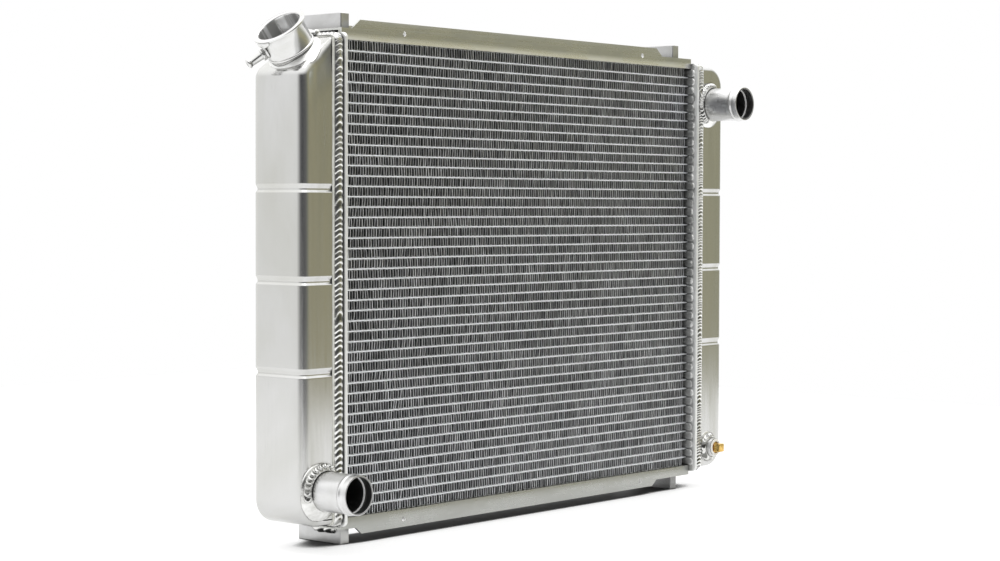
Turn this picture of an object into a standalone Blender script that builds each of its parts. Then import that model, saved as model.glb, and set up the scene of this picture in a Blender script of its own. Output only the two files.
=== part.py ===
"""Crossflow car radiator in aluminium.

A brazed core of flat tubes and fins stands between two header plates. An end tank is
welded to the back of each plate, and carries a hose neck; the left one also carries the
filler neck with its overflow nipple, the right one a drain bung with a screwed brass plug.
Side plates, the channels that hold them and four mounting bars close the core at top
and bottom.

Everything is laid out around the middle of the core: X runs along the tubes, -Y is the
side with the hose necks, +Z is up. The whole is then moved so that the origin is the
bottom centre of its box. Lengths are in metres.
"""
import math

import bmesh
import bpy
from mathutils import Matrix, Vector

MM = 0.001
GAP = 0.3 * MM                      # left between two pieces that touch

# Core: flat tubes on a regular pitch, with a fin row above, between and below them
TUBE_COUNT = 45
TUBE_PITCH = 10.0 * MM
TUBE_HEIGHT = 2.0 * MM
TUBE_WALL = 0.4 * MM
CORE_DEPTH = 54.0 * MM
FIN_SETBACK = 1.0 * MM              # fins stand this far behind the tube noses
TOP_FIN_EXTRA = 1.0 * MM            # the top fin row is this much taller than the others
TUBES_PER_BANK = 3                  # tubes brazed with the fins between them as one piece
HEADER_SPAN = 571.5 * MM            # between the two header plates
FIN_END_GAP = 6.0 * MM              # bare tube between the fins and a header plate

# Header plates
HEADER_THICKNESS = 4.0 * MM
HEADER_DEPTH = 77.0 * MM
HEADER_HEIGHT = 472.5 * MM
HEADER_CORNER = 5.0 * MM
TUBE_STICKOUT = 3.0 * MM            # tube ends stand this far into the tank

# End tanks
TANK_WIDTH = 52.2 * MM
TANK_DEPTH = 69.0 * MM
TANK_HEIGHT = 466.0 * MM
TANK_WALL = 3.0 * MM
TANK_EDGE_RADIUS = 5.0 * MM
TANK_CORNER_RADIUS = 23.0 * MM
RIB_PITCH = 87.5 * MM               # three pressed grooves around each tank
RIB_DEPTH = 1.8 * MM
RIB_FLOOR = 4.0 * MM
RIB_MOUTH = 9.0 * MM

# Weld bead between tank and header plate
BEAD_LEG = 11.5 * MM
BEAD_THROAT = 3.2 * MM

# Hose necks, 1 1/2 inch
NECK_RADIUS = 19.0 * MM
NECK_WALL = 1.8 * MM
NECK_LENGTH = 49.0 * MM             # from the tank's front face
NECK_BEAD_FROM_TIP = 9.0 * MM
UPPER_NECK_Z = 189.5 * MM
LOWER_NECK_Z = -199.0 * MM

# Filler neck on the sloping shoulder of the left tank
SHOULDER_ANGLE = math.radians(39.0)
SHOULDER_FLAT = 9.4 * MM            # flat top left beside the header plate
FILLER_X = -323.6 * MM
FILLER_SEAM_Z = 220.2 * MM
FILLER_HEIGHT = 26.2 * MM           # from its base seam to the top of the flange
FILLER_BODY_RADIUS = 23.0 * MM
FILLER_FLANGE_RADIUS = 27.0 * MM
FILLER_MOUTH_RADIUS = 22.0 * MM
FILLER_SEAT_RADIUS = 18.0 * MM
NIPPLE_RADIUS = 4.0 * MM
NIPPLE_BORE = 2.6 * MM
NIPPLE_LENGTH = 21.0 * MM           # outside the neck
NIPPLE_HEIGHT = 10.0 * MM           # above the base seam
NIPPLE_SWING = math.radians(30.0)   # turned back from the tank's end

# Drain bung and its 1/4 inch taper-thread plug
DRAIN_Z = -210.0 * MM
BUNG_RADIUS = 10.5 * MM
BUNG_LENGTH = 10.0 * MM
PLUG_RADIUS = 6.6 * MM
PLUG_CLEARANCE = 0.35 * MM
PLUG_SHANK = 10.0 * MM
PLUG_SQUARE = 9.5 * MM
PLUG_HEAD = 8.0 * MM
WASHER_RADIUS = 9.5 * MM
WASHER_THICKNESS = 1.5 * MM

# Side plates brazed on the outer fins
SIDE_PLATE_DEPTH = 53.4 * MM
SIDE_PLATE_THICKNESS = 1.8 * MM
SIDE_PLATE_HEIGHT = 8.5 * MM

# Channels: H sections whose inner flanges clasp the side plates
CHANNEL_DEPTH = 58.6 * MM
CHANNEL_THICKNESS = 2.2 * MM
FLANGE_HEIGHT = {"top": 11.0 * MM, "bottom": 8.7 * MM}      # outer flanges, web included
FLANGE_ENDS = {"top": (-271.0 * MM, 229.5 * MM), "bottom": (-266.0 * MM, 222.6 * MM)}
FLANGE_CHAMFER = 1.24               # run along the channel for each unit of height
FLANGE_HOLE_RADIUS = 2.5 * MM
FLANGE_HOLE_DEPTH = 4.0 * MM        # blind, drilled into the edge of the web
FLANGE_HOLES_X = (-198.0 * MM, 192.0 * MM)

# Mounting bars across both ends of each channel
BAR_X = 270.0 * MM
BAR_WIDTH = 11.5 * MM
BAR_HEIGHT = {"top": 15.2 * MM, "bottom": 16.2 * MM}
BAR_FRONT = -18.6 * MM
BAR_BACK = 40.0 * MM
BAR_EDGE = 0.6 * MM

# What follows from the driving dimensions
CORE_BOTTOM = (TUBE_PITCH * (TUBE_COUNT + 1) - TUBE_HEIGHT) / 2      # below the middle
CORE_TOP = CORE_BOTTOM + TOP_FIN_EXTRA
HEADER_FACE = HEADER_SPAN / 2
HEADER_BACK = HEADER_FACE + HEADER_THICKNESS
TANK_START = HEADER_BACK + GAP
TANK_FRONT = -TANK_DEPTH / 2
TANK_MIDDLE = TANK_START + TANK_WIDTH / 2 + 0.3 * MM
SIDE_PLATE_Z = {"top": CORE_TOP + GAP, "bottom": CORE_BOTTOM + GAP}
CLASP = SIDE_PLATE_HEIGHT + GAP     # inner flanges, from the web to the side plate's foot
BANK_COUNT = TUBE_COUNT // TUBES_PER_BANK

ROUND_STEPS = 32
SMALL_STEPS = 20
OVERSHOOT = 5.0 * MM                # how far a cutter runs past what it cuts
OUTWARD_TO_FRONT = Matrix.Rotation(math.radians(90.0), 4, "X")      # local +Z becomes -Y


# ---------------------------------------------------------------- scene and materials

def clear_scene():
    for obj in list(bpy.data.objects):
        bpy.data.objects.remove(obj)


def make_collection(name):
    collection = bpy.data.collections.new(name)
    bpy.context.scene.collection.children.link(collection)
    return collection


def make_material(name, colour, roughness, metallic=1.0):
    material = bpy.data.materials.new(name)
    material.use_nodes = True
    shader = material.node_tree.nodes["Principled BSDF"]
    shader.inputs["Base Color"].default_value = (*colour, 1.0)
    shader.inputs["Roughness"].default_value = roughness
    shader.inputs["Metallic"].default_value = metallic
    return material


clear_scene()
PARTS = make_collection("car_radiator")
CUTTERS = make_collection("cutters")
FRAME = bpy.data.objects.new("radiator_frame", None)
PARTS.objects.link(FRAME)

ROLLED = make_material("rolled_aluminium", (0.72, 0.72, 0.69), 0.30)
BRAZED = make_material("brazed_aluminium", (0.80, 0.80, 0.79), 0.42)
FIN = make_material("fin_aluminium", (0.26, 0.26, 0.27), 0.50)
WELD = make_material("weld_aluminium", (0.88, 0.88, 0.87), 0.34)
TURNED = make_material("turned_aluminium", (0.84, 0.84, 0.84), 0.22)
BRASS = make_material("brass", (0.75, 0.52, 0.20), 0.28)
NYLON = make_material("white_nylon", (0.85, 0.85, 0.82), 0.50, metallic=0.0)


# ---------------------------------------------------------------- modelling helpers

def add_object(name, mesh, material=None):
    """Link a mesh as a part, or as a hidden cutter when it has no material."""
    obj = bpy.data.objects.new(name, mesh)
    if material is None:
        CUTTERS.objects.link(obj)
        obj.hide_render = True
        obj.display_type = "WIRE"
    else:
        PARTS.objects.link(obj)
        if not mesh.materials:
            mesh.materials.append(material)
    obj.parent = FRAME
    return obj


def mesh_from(bm, name):
    bmesh.ops.recalc_face_normals(bm, faces=bm.faces)
    mesh = bpy.data.meshes.new(name)
    bm.to_mesh(mesh)
    bm.free()
    return mesh


def block(name, low, high, material=None):
    """A box between two corners."""
    low, high = Vector(low), Vector(high)
    bm = bmesh.new()
    bmesh.ops.create_cube(bm, size=1.0)
    bmesh.ops.scale(bm, vec=high - low, verts=bm.verts)
    bmesh.ops.translate(bm, vec=(low + high) / 2, verts=bm.verts)
    return add_object(name, mesh_from(bm, name), material)


def cylinder(name, radius, bottom, top, place, steps=ROUND_STEPS, material=None):
    """A solid cylinder along local Z, put in place by a matrix."""
    bm = bmesh.new()
    bmesh.ops.create_cone(bm, cap_ends=True, segments=steps,
                          radius1=radius, radius2=radius, depth=top - bottom)
    bmesh.ops.translate(bm, vec=(0.0, 0.0, (top + bottom) / 2), verts=bm.verts)
    obj = add_object(name, mesh_from(bm, name), material)
    obj.matrix_local = place
    return obj


def turned_ring(name, profile, place, material, steps=ROUND_STEPS):
    """Turn a closed (radius, height) profile, outer side top to bottom, about local Z."""
    mesh = bpy.data.meshes.new(name)
    count = len(profile)
    edges = [(i, (i + 1) % count) for i in range(count)]
    mesh.from_pydata([(radius, 0.0, height) for radius, height in profile], edges, [])
    obj = add_object(name, mesh, material)
    obj.matrix_local = place
    screw = obj.modifiers.new("turn", "SCREW")
    screw.axis = "Z"
    screw.steps = steps
    screw.render_steps = steps
    screw.use_merge_vertices = True
    screw.merge_threshold = 0.00001
    return obj


def cut(obj, cutter):
    boolean = obj.modifiers.new("cut_" + cutter.name, "BOOLEAN")
    boolean.operation = "DIFFERENCE"
    boolean.object = cutter


def join(obj, other):
    """Union with a helper solid, which joins the cutters."""
    PARTS.objects.unlink(other)
    CUTTERS.objects.link(other)
    other.hide_render = True
    other.display_type = "WIRE"
    boolean = obj.modifiers.new("join_" + other.name, "BOOLEAN")
    boolean.operation = "UNION"
    boolean.object = other


def round_edges(obj, width, segments=2, angle=math.radians(50.0)):
    bevel = obj.modifiers.new("round_edges", "BEVEL")
    bevel.width = width
    bevel.segments = segments
    bevel.limit_method = "ANGLE"
    bevel.angle_limit = angle


def smooth(obj, angle=math.radians(35.0)):
    obj.data.shade_smooth()
    obj.data.set_sharp_from_angle(angle=angle)


def filleted(corners, segments=5):
    """Outline points through (x, y, radius) corners, with each radius as an arc."""
    points = []
    for i, (x, y, radius) in enumerate(corners):
        corner = Vector((x, y))
        if radius == 0.0:
            points.append(corner)
            continue
        before = (Vector(corners[i - 1][:2]) - corner).normalized()
        after = (Vector(corners[(i + 1) % len(corners)][:2]) - corner).normalized()
        half = before.angle(after) / 2
        centre = corner + (before + after).normalized() * (radius / math.sin(half))
        start = corner + before * (radius / math.tan(half)) - centre
        end = corner + after * (radius / math.tan(half)) - centre
        turn = start.angle_signed(end)
        for step in range(segments + 1):
            arm = start.copy()
            arm.rotate(Matrix.Rotation(-turn * step / segments, 2))
            points.append(centre + arm)
    return points


def at(x, y, z):
    return Matrix.Translation((x, y, z))


# ---------------------------------------------------------------- core

def tube_z(row):
    """Height of a tube, counted from the top."""
    return ((TUBE_COUNT - 1) / 2 - row) * TUBE_PITCH


def bank_master():
    """Three hollow tubes, brazed with the two fin rows between them."""
    tube_end = HEADER_BACK + TUBE_STICKOUT
    fin_end = HEADER_FACE - FIN_END_GAP
    fin_front = CORE_DEPTH / 2 - FIN_SETBACK
    reach = TUBE_PITCH * (TUBES_PER_BANK - 1) / 2
    bank = block("bank_fins", (-fin_end, -fin_front, -reach), (fin_end, fin_front, reach), BRAZED)
    for row in range(TUBES_PER_BANK):
        z = reach - row * TUBE_PITCH
        low = (-tube_end, -CORE_DEPTH / 2, z - TUBE_HEIGHT / 2)
        high = (tube_end, CORE_DEPTH / 2, z + TUBE_HEIGHT / 2)
        join(bank, block(f"bank_tube_{row}", low, high, BRAZED))
    for row in range(TUBES_PER_BANK):
        z = reach - row * TUBE_PITCH
        inner_depth = CORE_DEPTH / 2 - TUBE_WALL
        inner_height = TUBE_HEIGHT / 2 - TUBE_WALL
        low = (-tube_end - OVERSHOOT, -inner_depth, z - inner_height)
        high = (tube_end + OVERSHOOT, inner_depth, z + inner_height)
        cut(bank, block(f"bank_bore_{row}", low, high))
    return bank


def evaluated_mesh(obj, name):
    graph = bpy.context.evaluated_depsgraph_get()
    mesh = bpy.data.meshes.new_from_object(obj.evaluated_get(graph))
    mesh.name = name
    return mesh


def make_core():
    master = bank_master()
    bank_mesh = evaluated_mesh(master, "core_bank")
    for obj in [master] + [o for o in CUTTERS.objects if o.name.startswith("bank_")]:
        bpy.data.objects.remove(obj)
    for bank in range(BANK_COUNT):
        middle_row = bank * TUBES_PER_BANK + (TUBES_PER_BANK - 1) / 2
        obj = add_object(f"core_bank_{bank + 1:02d}", bank_mesh, BRAZED)
        obj.location = (0.0, 0.0, tube_z(middle_row))

    fin_half = (TUBE_PITCH - TUBE_HEIGHT) / 2 - GAP
    fin_end = HEADER_FACE - FIN_END_GAP
    fin_front = CORE_DEPTH / 2 - FIN_SETBACK
    for strip in range(BANK_COUNT + 1):
        z = tube_z(strip * TUBES_PER_BANK - 0.5)
        low_z, high_z = z - fin_half, z + fin_half
        if strip == 0:
            high_z = CORE_TOP
        if strip == BANK_COUNT:
            low_z = -CORE_BOTTOM
        block(f"fin_strip_{strip + 1:02d}", (-fin_end, -fin_front, low_z),
              (fin_end, fin_front, high_z), FIN)


# ---------------------------------------------------------------- header plates

def make_header(side, name):
    """A flat plate with one slot for each tube."""
    low = (min(side * HEADER_FACE, side * HEADER_BACK), -HEADER_DEPTH / 2, -HEADER_HEIGHT / 2)
    high = (max(side * HEADER_FACE, side * HEADER_BACK), HEADER_DEPTH / 2, HEADER_HEIGHT / 2)
    plate = block(name, low, high, ROLLED)
    bm = bmesh.new()
    bm.from_mesh(plate.data)
    corners = [e for e in bm.edges
               if abs(e.verts[0].co.x - e.verts[1].co.x) > HEADER_THICKNESS / 2]
    bmesh.ops.bevel(bm, geom=corners, offset=HEADER_CORNER, segments=3,
                    profile=0.5, affect="EDGES")
    bm.to_mesh(plate.data)
    bm.free()

    slots = bmesh.new()
    for row in range(TUBE_COUNT):
        cube = bmesh.ops.create_cube(slots, size=1.0)["verts"]
        size = (4 * HEADER_THICKNESS, CORE_DEPTH + 2 * GAP, TUBE_HEIGHT + 2 * GAP)
        bmesh.ops.scale(slots, vec=size, verts=cube)
        bmesh.ops.translate(slots, verts=cube,
                            vec=(side * (HEADER_FACE + HEADER_BACK) / 2, 0.0, tube_z(row)))
    cutter = add_object(name + "_slots", mesh_from(slots, name + "_slots"))
    cut(plate, cutter)


# ---------------------------------------------------------------- end tanks

def tank_outline(side):
    """Corners (distance from the header plate, height, radius) seen from the front."""
    half = TANK_HEIGHT / 2
    if side > 0:
        top = [(TANK_WIDTH, half, TANK_CORNER_RADIUS)]
    else:
        drop = (TANK_WIDTH - SHOULDER_FLAT) * math.tan(SHOULDER_ANGLE)
        top = [(SHOULDER_FLAT, half, 8.0 * MM), (TANK_WIDTH, half - drop, 12.0 * MM)]
    return [(0.0, half, 0.0)] + top + [(TANK_WIDTH, -half, TANK_CORNER_RADIUS), (0.0, -half, 0.0)]


def press_ribs(bm, side):
    """Push three grooves into the front, end and back of the tank's sheet."""
    fade = [BEAD_LEG + 1.0 * MM, BEAD_LEG + 4.0 * MM]
    for distance in fade:
        bmesh.ops.bisect_plane(bm, geom=bm.verts[:] + bm.edges[:] + bm.faces[:],
                               plane_co=(side * (TANK_START + distance), 0.0, 0.0),
                               plane_no=(1.0, 0.0, 0.0))
    for rib in (-1, 0, 1):
        for offset in (-RIB_MOUTH / 2, -RIB_FLOOR / 2, RIB_FLOOR / 2, RIB_MOUTH / 2):
            bmesh.ops.bisect_plane(bm, geom=bm.verts[:] + bm.edges[:] + bm.faces[:],
                                   plane_co=(0.0, 0.0, rib * RIB_PITCH + offset),
                                   plane_no=(0.0, 0.0, 1.0))
    bm.normal_update()
    inner_limit = TANK_START + (fade[0] + fade[1]) / 2
    for rib in (-1, 0, 1):
        floor = [v for v in bm.verts
                 if abs(v.co.z - rib * RIB_PITCH) < RIB_FLOOR / 2 + 0.01 * MM
                 and abs(v.co.x) > inner_limit]
        inward = {v: Vector((v.normal.x, v.normal.y, 0.0)).normalized() for v in floor}
        for v in floor:
            v.co -= inward[v] * RIB_DEPTH


def make_tank(side, name):
    """Sheet tank, open towards the header plate."""
    bm = bmesh.new()
    outline = filleted(tank_outline(side))
    ring = [bm.verts.new((side * (TANK_START + p.x), TANK_FRONT, p.y)) for p in outline]
    face = bm.faces.new(ring)
    extruded = bmesh.ops.extrude_face_region(bm, geom=[face])["geom"]
    moved = [g for g in extruded if isinstance(g, bmesh.types.BMVert)]
    bmesh.ops.translate(bm, vec=(0.0, TANK_DEPTH, 0.0), verts=moved)
    bmesh.ops.recalc_face_normals(bm, faces=bm.faces)
    mouth = [f for f in bm.faces if all(abs(abs(v.co.x) - TANK_START) < 0.01 * MM for v in f.verts)]
    bmesh.ops.delete(bm, geom=mouth, context="FACES")
    rims = [e for e in bm.edges
            if abs(e.verts[0].co.y - e.verts[1].co.y) < 0.01 * MM and not e.is_boundary]
    bmesh.ops.bevel(bm, geom=rims, offset=TANK_EDGE_RADIUS, segments=3,
                    profile=0.5, affect="EDGES")
    bmesh.ops.recalc_face_normals(bm, faces=bm.faces)
    press_ribs(bm, side)
    mesh = bpy.data.meshes.new(name)
    bm.to_mesh(mesh)
    bm.free()
    tank = add_object(name, mesh, ROLLED)
    wall = tank.modifiers.new("wall", "SOLIDIFY")
    wall.thickness = TANK_WALL
    wall.offset = -1.0
    wall.use_even_offset = True
    smooth(tank)
    return tank


def rounded_rectangle(half_y, half_z, radius):
    corners = [(half_y, half_z, radius), (half_y, -half_z, radius),
               (-half_y, -half_z, radius), (-half_y, half_z, radius)]
    return filleted(corners, segments=3)


def make_tank_bead(side, name):
    """The weld along the joint of tank and header plate: a ring lofted through four loops."""
    half_y, half_z = TANK_DEPTH / 2, TANK_HEIGHT / 2
    section = [(0.0, GAP), (0.0, BEAD_THROAT), (BEAD_LEG * 0.5, BEAD_THROAT * 0.9),
               (BEAD_LEG, GAP + 0.6 * MM), (BEAD_LEG, GAP)]
    bm = bmesh.new()
    loops = []
    for out, offset in section:
        points = rounded_rectangle(half_y + offset, half_z + offset, TANK_EDGE_RADIUS + offset)
        loops.append([bm.verts.new((side * (TANK_START + out), p.x, p.y)) for p in points])
    count = len(loops[0])
    for i, loop in enumerate(loops):
        following = loops[(i + 1) % len(loops)]
        for j in range(count):
            k = (j + 1) % count
            bm.faces.new((loop[j], loop[k], following[k], following[j]))
    return add_object(name, mesh_from(bm, name), WELD)


# ---------------------------------------------------------------- hose necks

def make_neck(x, z, tank, bead, level):
    """Beaded tube through the tank's front wall, with the weld around its foot."""
    place = at(x, TANK_FRONT, z) @ OUTWARD_TO_FRONT
    foot = -TANK_WALL - 2.0 * MM
    bead_z = NECK_LENGTH - NECK_BEAD_FROM_TIP
    bore = NECK_RADIUS - NECK_WALL
    rise = 0.9 * MM
    profile = [
        (NECK_RADIUS - 0.4 * MM, NECK_LENGTH),
        (NECK_RADIUS, NECK_LENGTH - 0.6 * MM),
        (NECK_RADIUS, bead_z + 2.6 * MM),
        (NECK_RADIUS + rise, bead_z + 0.9 * MM),
        (NECK_RADIUS + rise, bead_z - 0.9 * MM),
        (NECK_RADIUS, bead_z - 2.6 * MM),
        (NECK_RADIUS, foot),
        (bore, foot),
        (bore, bead_z - 2.2 * MM),
        (bore + rise, bead_z - 0.6 * MM),
        (bore + rise, bead_z + 0.6 * MM),
        (bore, bead_z + 2.2 * MM),
        (bore, NECK_LENGTH - 0.4 * MM),
        (bore + 0.3 * MM, NECK_LENGTH),
    ]
    neck = turned_ring(f"hose_neck_{level}", profile, place, TURNED)
    smooth(neck)
    cut(tank, cylinder(f"hose_hole_{level}", NECK_RADIUS + GAP, -3 * TANK_WALL, OVERSHOOT, place))

    inner = NECK_RADIUS + GAP
    outer = NECK_RADIUS + 3.6 * MM
    fillet = [(inner, 4.6 * MM), (inner + 1.4 * MM, 3.6 * MM), (outer - 0.4 * MM, 1.4 * MM),
              (outer, GAP), (inner, GAP)]
    turned_ring(f"neck_weld_{level}", fillet, place, WELD)
    cut(bead, cylinder(f"bead_gap_{level}", outer + GAP, -OVERSHOOT, 2 * OVERSHOOT, place))


# ---------------------------------------------------------------- filler neck

def filler_place():
    """Local +Z leaves the shoulder squarely; local +X points down the slope."""
    tilt = Matrix.Rotation(-SHOULDER_ANGLE, 4, "Y")
    flip = Matrix.Rotation(math.pi, 4, "Z")
    return at(FILLER_X, 0.0, FILLER_SEAM_Z) @ tilt @ flip


def make_filler(tank, bead):
    """Cap neck with its flange, cap cams, seat, overflow nipple and foot weld."""
    place = filler_place()
    top = FILLER_HEIGHT
    foot = -11.0 * MM
    skin = FILLER_BODY_RADIUS
    profile = [
        (FILLER_FLANGE_RADIUS, top),
        (FILLER_FLANGE_RADIUS, top - 2.2 * MM),
        (skin, top - 2.2 * MM),
        (skin, 1.6 * MM),
        (skin + 1.2 * MM, 0.8 * MM),
        (skin + 1.2 * MM, -1.0 * MM),
        (skin - 0.2 * MM, -1.6 * MM),
        (skin - 0.2 * MM, foot),
        (skin - 2.0 * MM, foot),
        (skin - 2.0 * MM, -2.0 * MM),
        (FILLER_SEAT_RADIUS, -1.0 * MM),
        (FILLER_SEAT_RADIUS, 0.2 * MM),
        (skin - 1.5 * MM, 1.2 * MM),
        (skin - 1.5 * MM, top - 1.2 * MM),
        (FILLER_MOUTH_RADIUS, top),
    ]
    neck = turned_ring("filler_neck", profile, place, TURNED, steps=40)
    smooth(neck)
    for cam, turn in enumerate((0.0, math.pi)):
        low = (FILLER_FLANGE_RADIUS - 2.4 * MM, -6.0 * MM, top - 6.2 * MM)
        high = (FILLER_FLANGE_RADIUS + 1.6 * MM, 6.0 * MM, top - 1.1 * MM)
        lug = block(f"cap_cam_{cam}", low, high, TURNED)
        lug.matrix_local = place @ Matrix.Rotation(turn, 4, "Z")
        join(neck, lug)
    hole = cylinder("filler_hole", skin - 0.2 * MM + GAP, -25 * MM, OVERSHOOT, place, steps=40)
    cut(tank, hole)

    corner = Vector((-TANK_START - SHOULDER_FLAT, TANK_HEIGHT / 2))
    uphill = Vector((-math.sin(SHOULDER_ANGLE), math.cos(SHOULDER_ANGLE)))
    shoulder = uphill.dot(corner - Vector((FILLER_X, FILLER_SEAM_Z)))
    inner = skin + 1.2 * MM + GAP
    fillet = [(inner, -0.6 * MM), (inner + 1.2 * MM, -1.0 * MM), (inner + 2.4 * MM, -3.6 * MM),
              (inner + 3.0 * MM, shoulder + GAP), (skin - 0.2 * MM + GAP, shoulder + GAP),
              (skin - 0.2 * MM + GAP, -1.9 * MM), (inner, -1.3 * MM)]
    turned_ring("filler_weld", fillet, place, WELD)
    cut(bead, cylinder("bead_gap_filler", inner + 3.4 * MM, -4 * OVERSHOOT, OVERSHOOT, place))

    aim = at(0.0, 0.0, NIPPLE_HEIGHT) @ Matrix.Rotation(-NIPPLE_SWING, 4, "Z") \
        @ Matrix.Rotation(math.radians(90.0), 4, "Y")
    root, tip = skin - 1.3 * MM, skin + NIPPLE_LENGTH
    collar = NIPPLE_RADIUS + 2.0 * MM
    pipe = [
        (NIPPLE_RADIUS, tip),
        (NIPPLE_RADIUS + 1.0 * MM, tip - 1.2 * MM),
        (NIPPLE_RADIUS + 1.0 * MM, tip - 2.4 * MM),
        (NIPPLE_RADIUS, tip - 3.8 * MM),
        (NIPPLE_RADIUS, skin + 5.0 * MM),
        (collar, skin + 5.0 * MM),
        (collar, skin + 1.6 * MM),
        (NIPPLE_RADIUS, skin + 1.6 * MM),
        (NIPPLE_RADIUS, root),
        (NIPPLE_BORE, root),
        (NIPPLE_BORE, tip),
    ]
    nipple = turned_ring("overflow_nipple", pipe, place @ aim, TURNED, steps=SMALL_STEPS)
    smooth(nipple)
    drill = cylinder("nipple_hole", NIPPLE_RADIUS + GAP, 0.0, skin + OVERSHOOT, place @ aim,
                     steps=SMALL_STEPS)
    cut(neck, drill)


# ---------------------------------------------------------------- drain

def make_drain(tank, bead):
    """Bung welded into the right tank, closed by a washer and a square-headed plug."""
    place = at(TANK_MIDDLE, TANK_FRONT, DRAIN_Z) @ OUTWARD_TO_FRONT
    hole = PLUG_RADIUS + PLUG_CLEARANCE
    foot = -TANK_WALL - 1.0 * MM
    bung = [(BUNG_RADIUS - 0.8 * MM, BUNG_LENGTH), (BUNG_RADIUS, BUNG_LENGTH - 0.8 * MM),
            (BUNG_RADIUS, foot), (hole, foot), (hole, BUNG_LENGTH)]
    smooth(turned_ring("drain_bung", bung, place, TURNED, steps=24))
    cut(tank, cylinder("bung_hole", BUNG_RADIUS + GAP, -3 * TANK_WALL, OVERSHOOT, place, steps=24))

    inner = BUNG_RADIUS + GAP
    fillet = [(inner, 4.0 * MM), (inner + 1.6 * MM, 3.2 * MM), (inner + 3.8 * MM, 1.4 * MM),
              (inner + 4.2 * MM, GAP), (inner, GAP)]
    turned_ring("bung_weld", fillet, place, WELD, steps=24)
    cut(bead, cylinder("bead_gap_bung", inner + 4.2 * MM + GAP, -OVERSHOOT, 2 * OVERSHOOT, place))

    seat = BUNG_LENGTH + GAP
    washer = [(WASHER_RADIUS, seat + WASHER_THICKNESS), (WASHER_RADIUS, seat),
              (hole, seat), (hole, seat + WASHER_THICKNESS)]
    turned_ring("drain_washer", washer, place, NYLON, steps=24)

    under_head = seat + WASHER_THICKNESS + GAP
    plug = cylinder("drain_plug", PLUG_RADIUS, under_head - PLUG_SHANK - WASHER_THICKNESS,
                    under_head + 1.0 * MM, place, steps=24, material=BRASS)
    half = PLUG_SQUARE / 2
    head = block("plug_head", (-half, -half, under_head), (half, half, under_head + PLUG_HEAD), BRASS)
    head.matrix_local = place
    join(plug, head)


# ---------------------------------------------------------------- side plates and channels

def section(name, length, outline, material):
    """A bar with the same outline (y, z) over its whole length along X."""
    bm = bmesh.new()
    face = bm.faces.new([bm.verts.new((length[0], y, z)) for y, z in outline])
    extruded = bmesh.ops.extrude_face_region(bm, geom=[face])["geom"]
    moved = [g for g in extruded if isinstance(g, bmesh.types.BMVert)]
    bmesh.ops.translate(bm, vec=(length[1] - length[0], 0.0, 0.0), verts=moved)
    return add_object(name, mesh_from(bm, name), material)


def web_and_flanges(depth, height, thickness):
    """Outline over the web, from the front corner at z = 0 to the back one, flanges up."""
    half = depth / 2
    return [(-half, 0.0), (-half, height), (-half + thickness, height),
            (-half + thickness, thickness), (half - thickness, thickness),
            (half - thickness, height), (half, height), (half, 0.0)]


def stand(obj, level, z):
    """Put a piece on the top of the core, or turn it over below the core."""
    turn = Matrix.Identity(4) if level == "top" else Matrix.Scale(-1.0, 4, (0.0, 0.0, 1.0))
    mesh = obj.data
    mesh.transform(turn @ at(0.0, 0.0, z))
    if level == "bottom":
        mesh.flip_normals()


def make_side_plate(level):
    """A U section, its web on the outermost fin row."""
    length = HEADER_FACE - GAP
    outline = web_and_flanges(SIDE_PLATE_DEPTH, SIDE_PLATE_HEIGHT, SIDE_PLATE_THICKNESS)
    plate = section(f"core_side_plate_{level}", (-length, length), outline, ROLLED)
    stand(plate, level, SIDE_PLATE_Z[level])


def flange_end_cutter(name, x, outward, height):
    """Prism that takes the outer flanges off one end, leaving a chamfer."""
    bottom, top = CHANNEL_THICKNESS, height + OVERSHOOT
    run = -outward * FLANGE_CHAMFER * (top - bottom)
    outline = [(x, bottom), (x + run, top),
               (x + outward * 80 * MM, top), (x + outward * 80 * MM, bottom)]
    bm = bmesh.new()
    face = bm.faces.new([bm.verts.new((px, -CHANNEL_DEPTH, pz)) for px, pz in outline])
    extruded = bmesh.ops.extrude_face_region(bm, geom=[face])["geom"]
    moved = [g for g in extruded if isinstance(g, bmesh.types.BMVert)]
    bmesh.ops.translate(bm, vec=(0.0, 2 * CHANNEL_DEPTH, 0.0), verts=moved)
    return add_object(name, mesh_from(bm, name))


def make_channel(level):
    """An H section: the inner flanges hide the side plate, the outer ones end in chamfers."""
    length = HEADER_FACE - GAP
    height = FLANGE_HEIGHT[level]
    web_z = SIDE_PLATE_Z[level] + CLASP
    half, wall = CHANNEL_DEPTH / 2, CHANNEL_THICKNESS
    outline = web_and_flanges(CHANNEL_DEPTH, height, wall)[1:-1]
    outline += [(half, -CLASP), (half - wall, -CLASP), (half - wall, 0.0),
                (-half + wall, 0.0), (-half + wall, -CLASP), (-half, -CLASP)]
    channel = section(f"side_channel_{level}", (-length, length), outline, ROLLED)
    left, right = FLANGE_ENDS[level]
    cutters = [flange_end_cutter(f"flange_left_{level}", left, -1, height),
               flange_end_cutter(f"flange_right_{level}", right, 1, height)]
    for side in (-1, 1):
        low = (side * BAR_X - BAR_WIDTH / 2 - GAP, 0.0, wall)
        high = (side * BAR_X + BAR_WIDTH / 2 + GAP, CHANNEL_DEPTH, height + OVERSHOOT)
        cutters.append(block(f"bar_notch_{level}_{side + 1}", low, high))
        for hole, x in enumerate(FLANGE_HOLES_X):
            drill = cylinder(f"flange_hole_{level}_{side + 1}_{hole}", FLANGE_HOLE_RADIUS,
                             -FLANGE_HOLE_DEPTH, FLANGE_HOLE_DEPTH, Matrix.Identity(4), steps=20)
            drill.data.transform(at(x, side * half, wall / 2) @ OUTWARD_TO_FRONT)
            cutters.append(drill)
    stand(channel, level, web_z)
    for cutter in cutters:
        stand(cutter, level, web_z)
        cut(channel, cutter)


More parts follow.
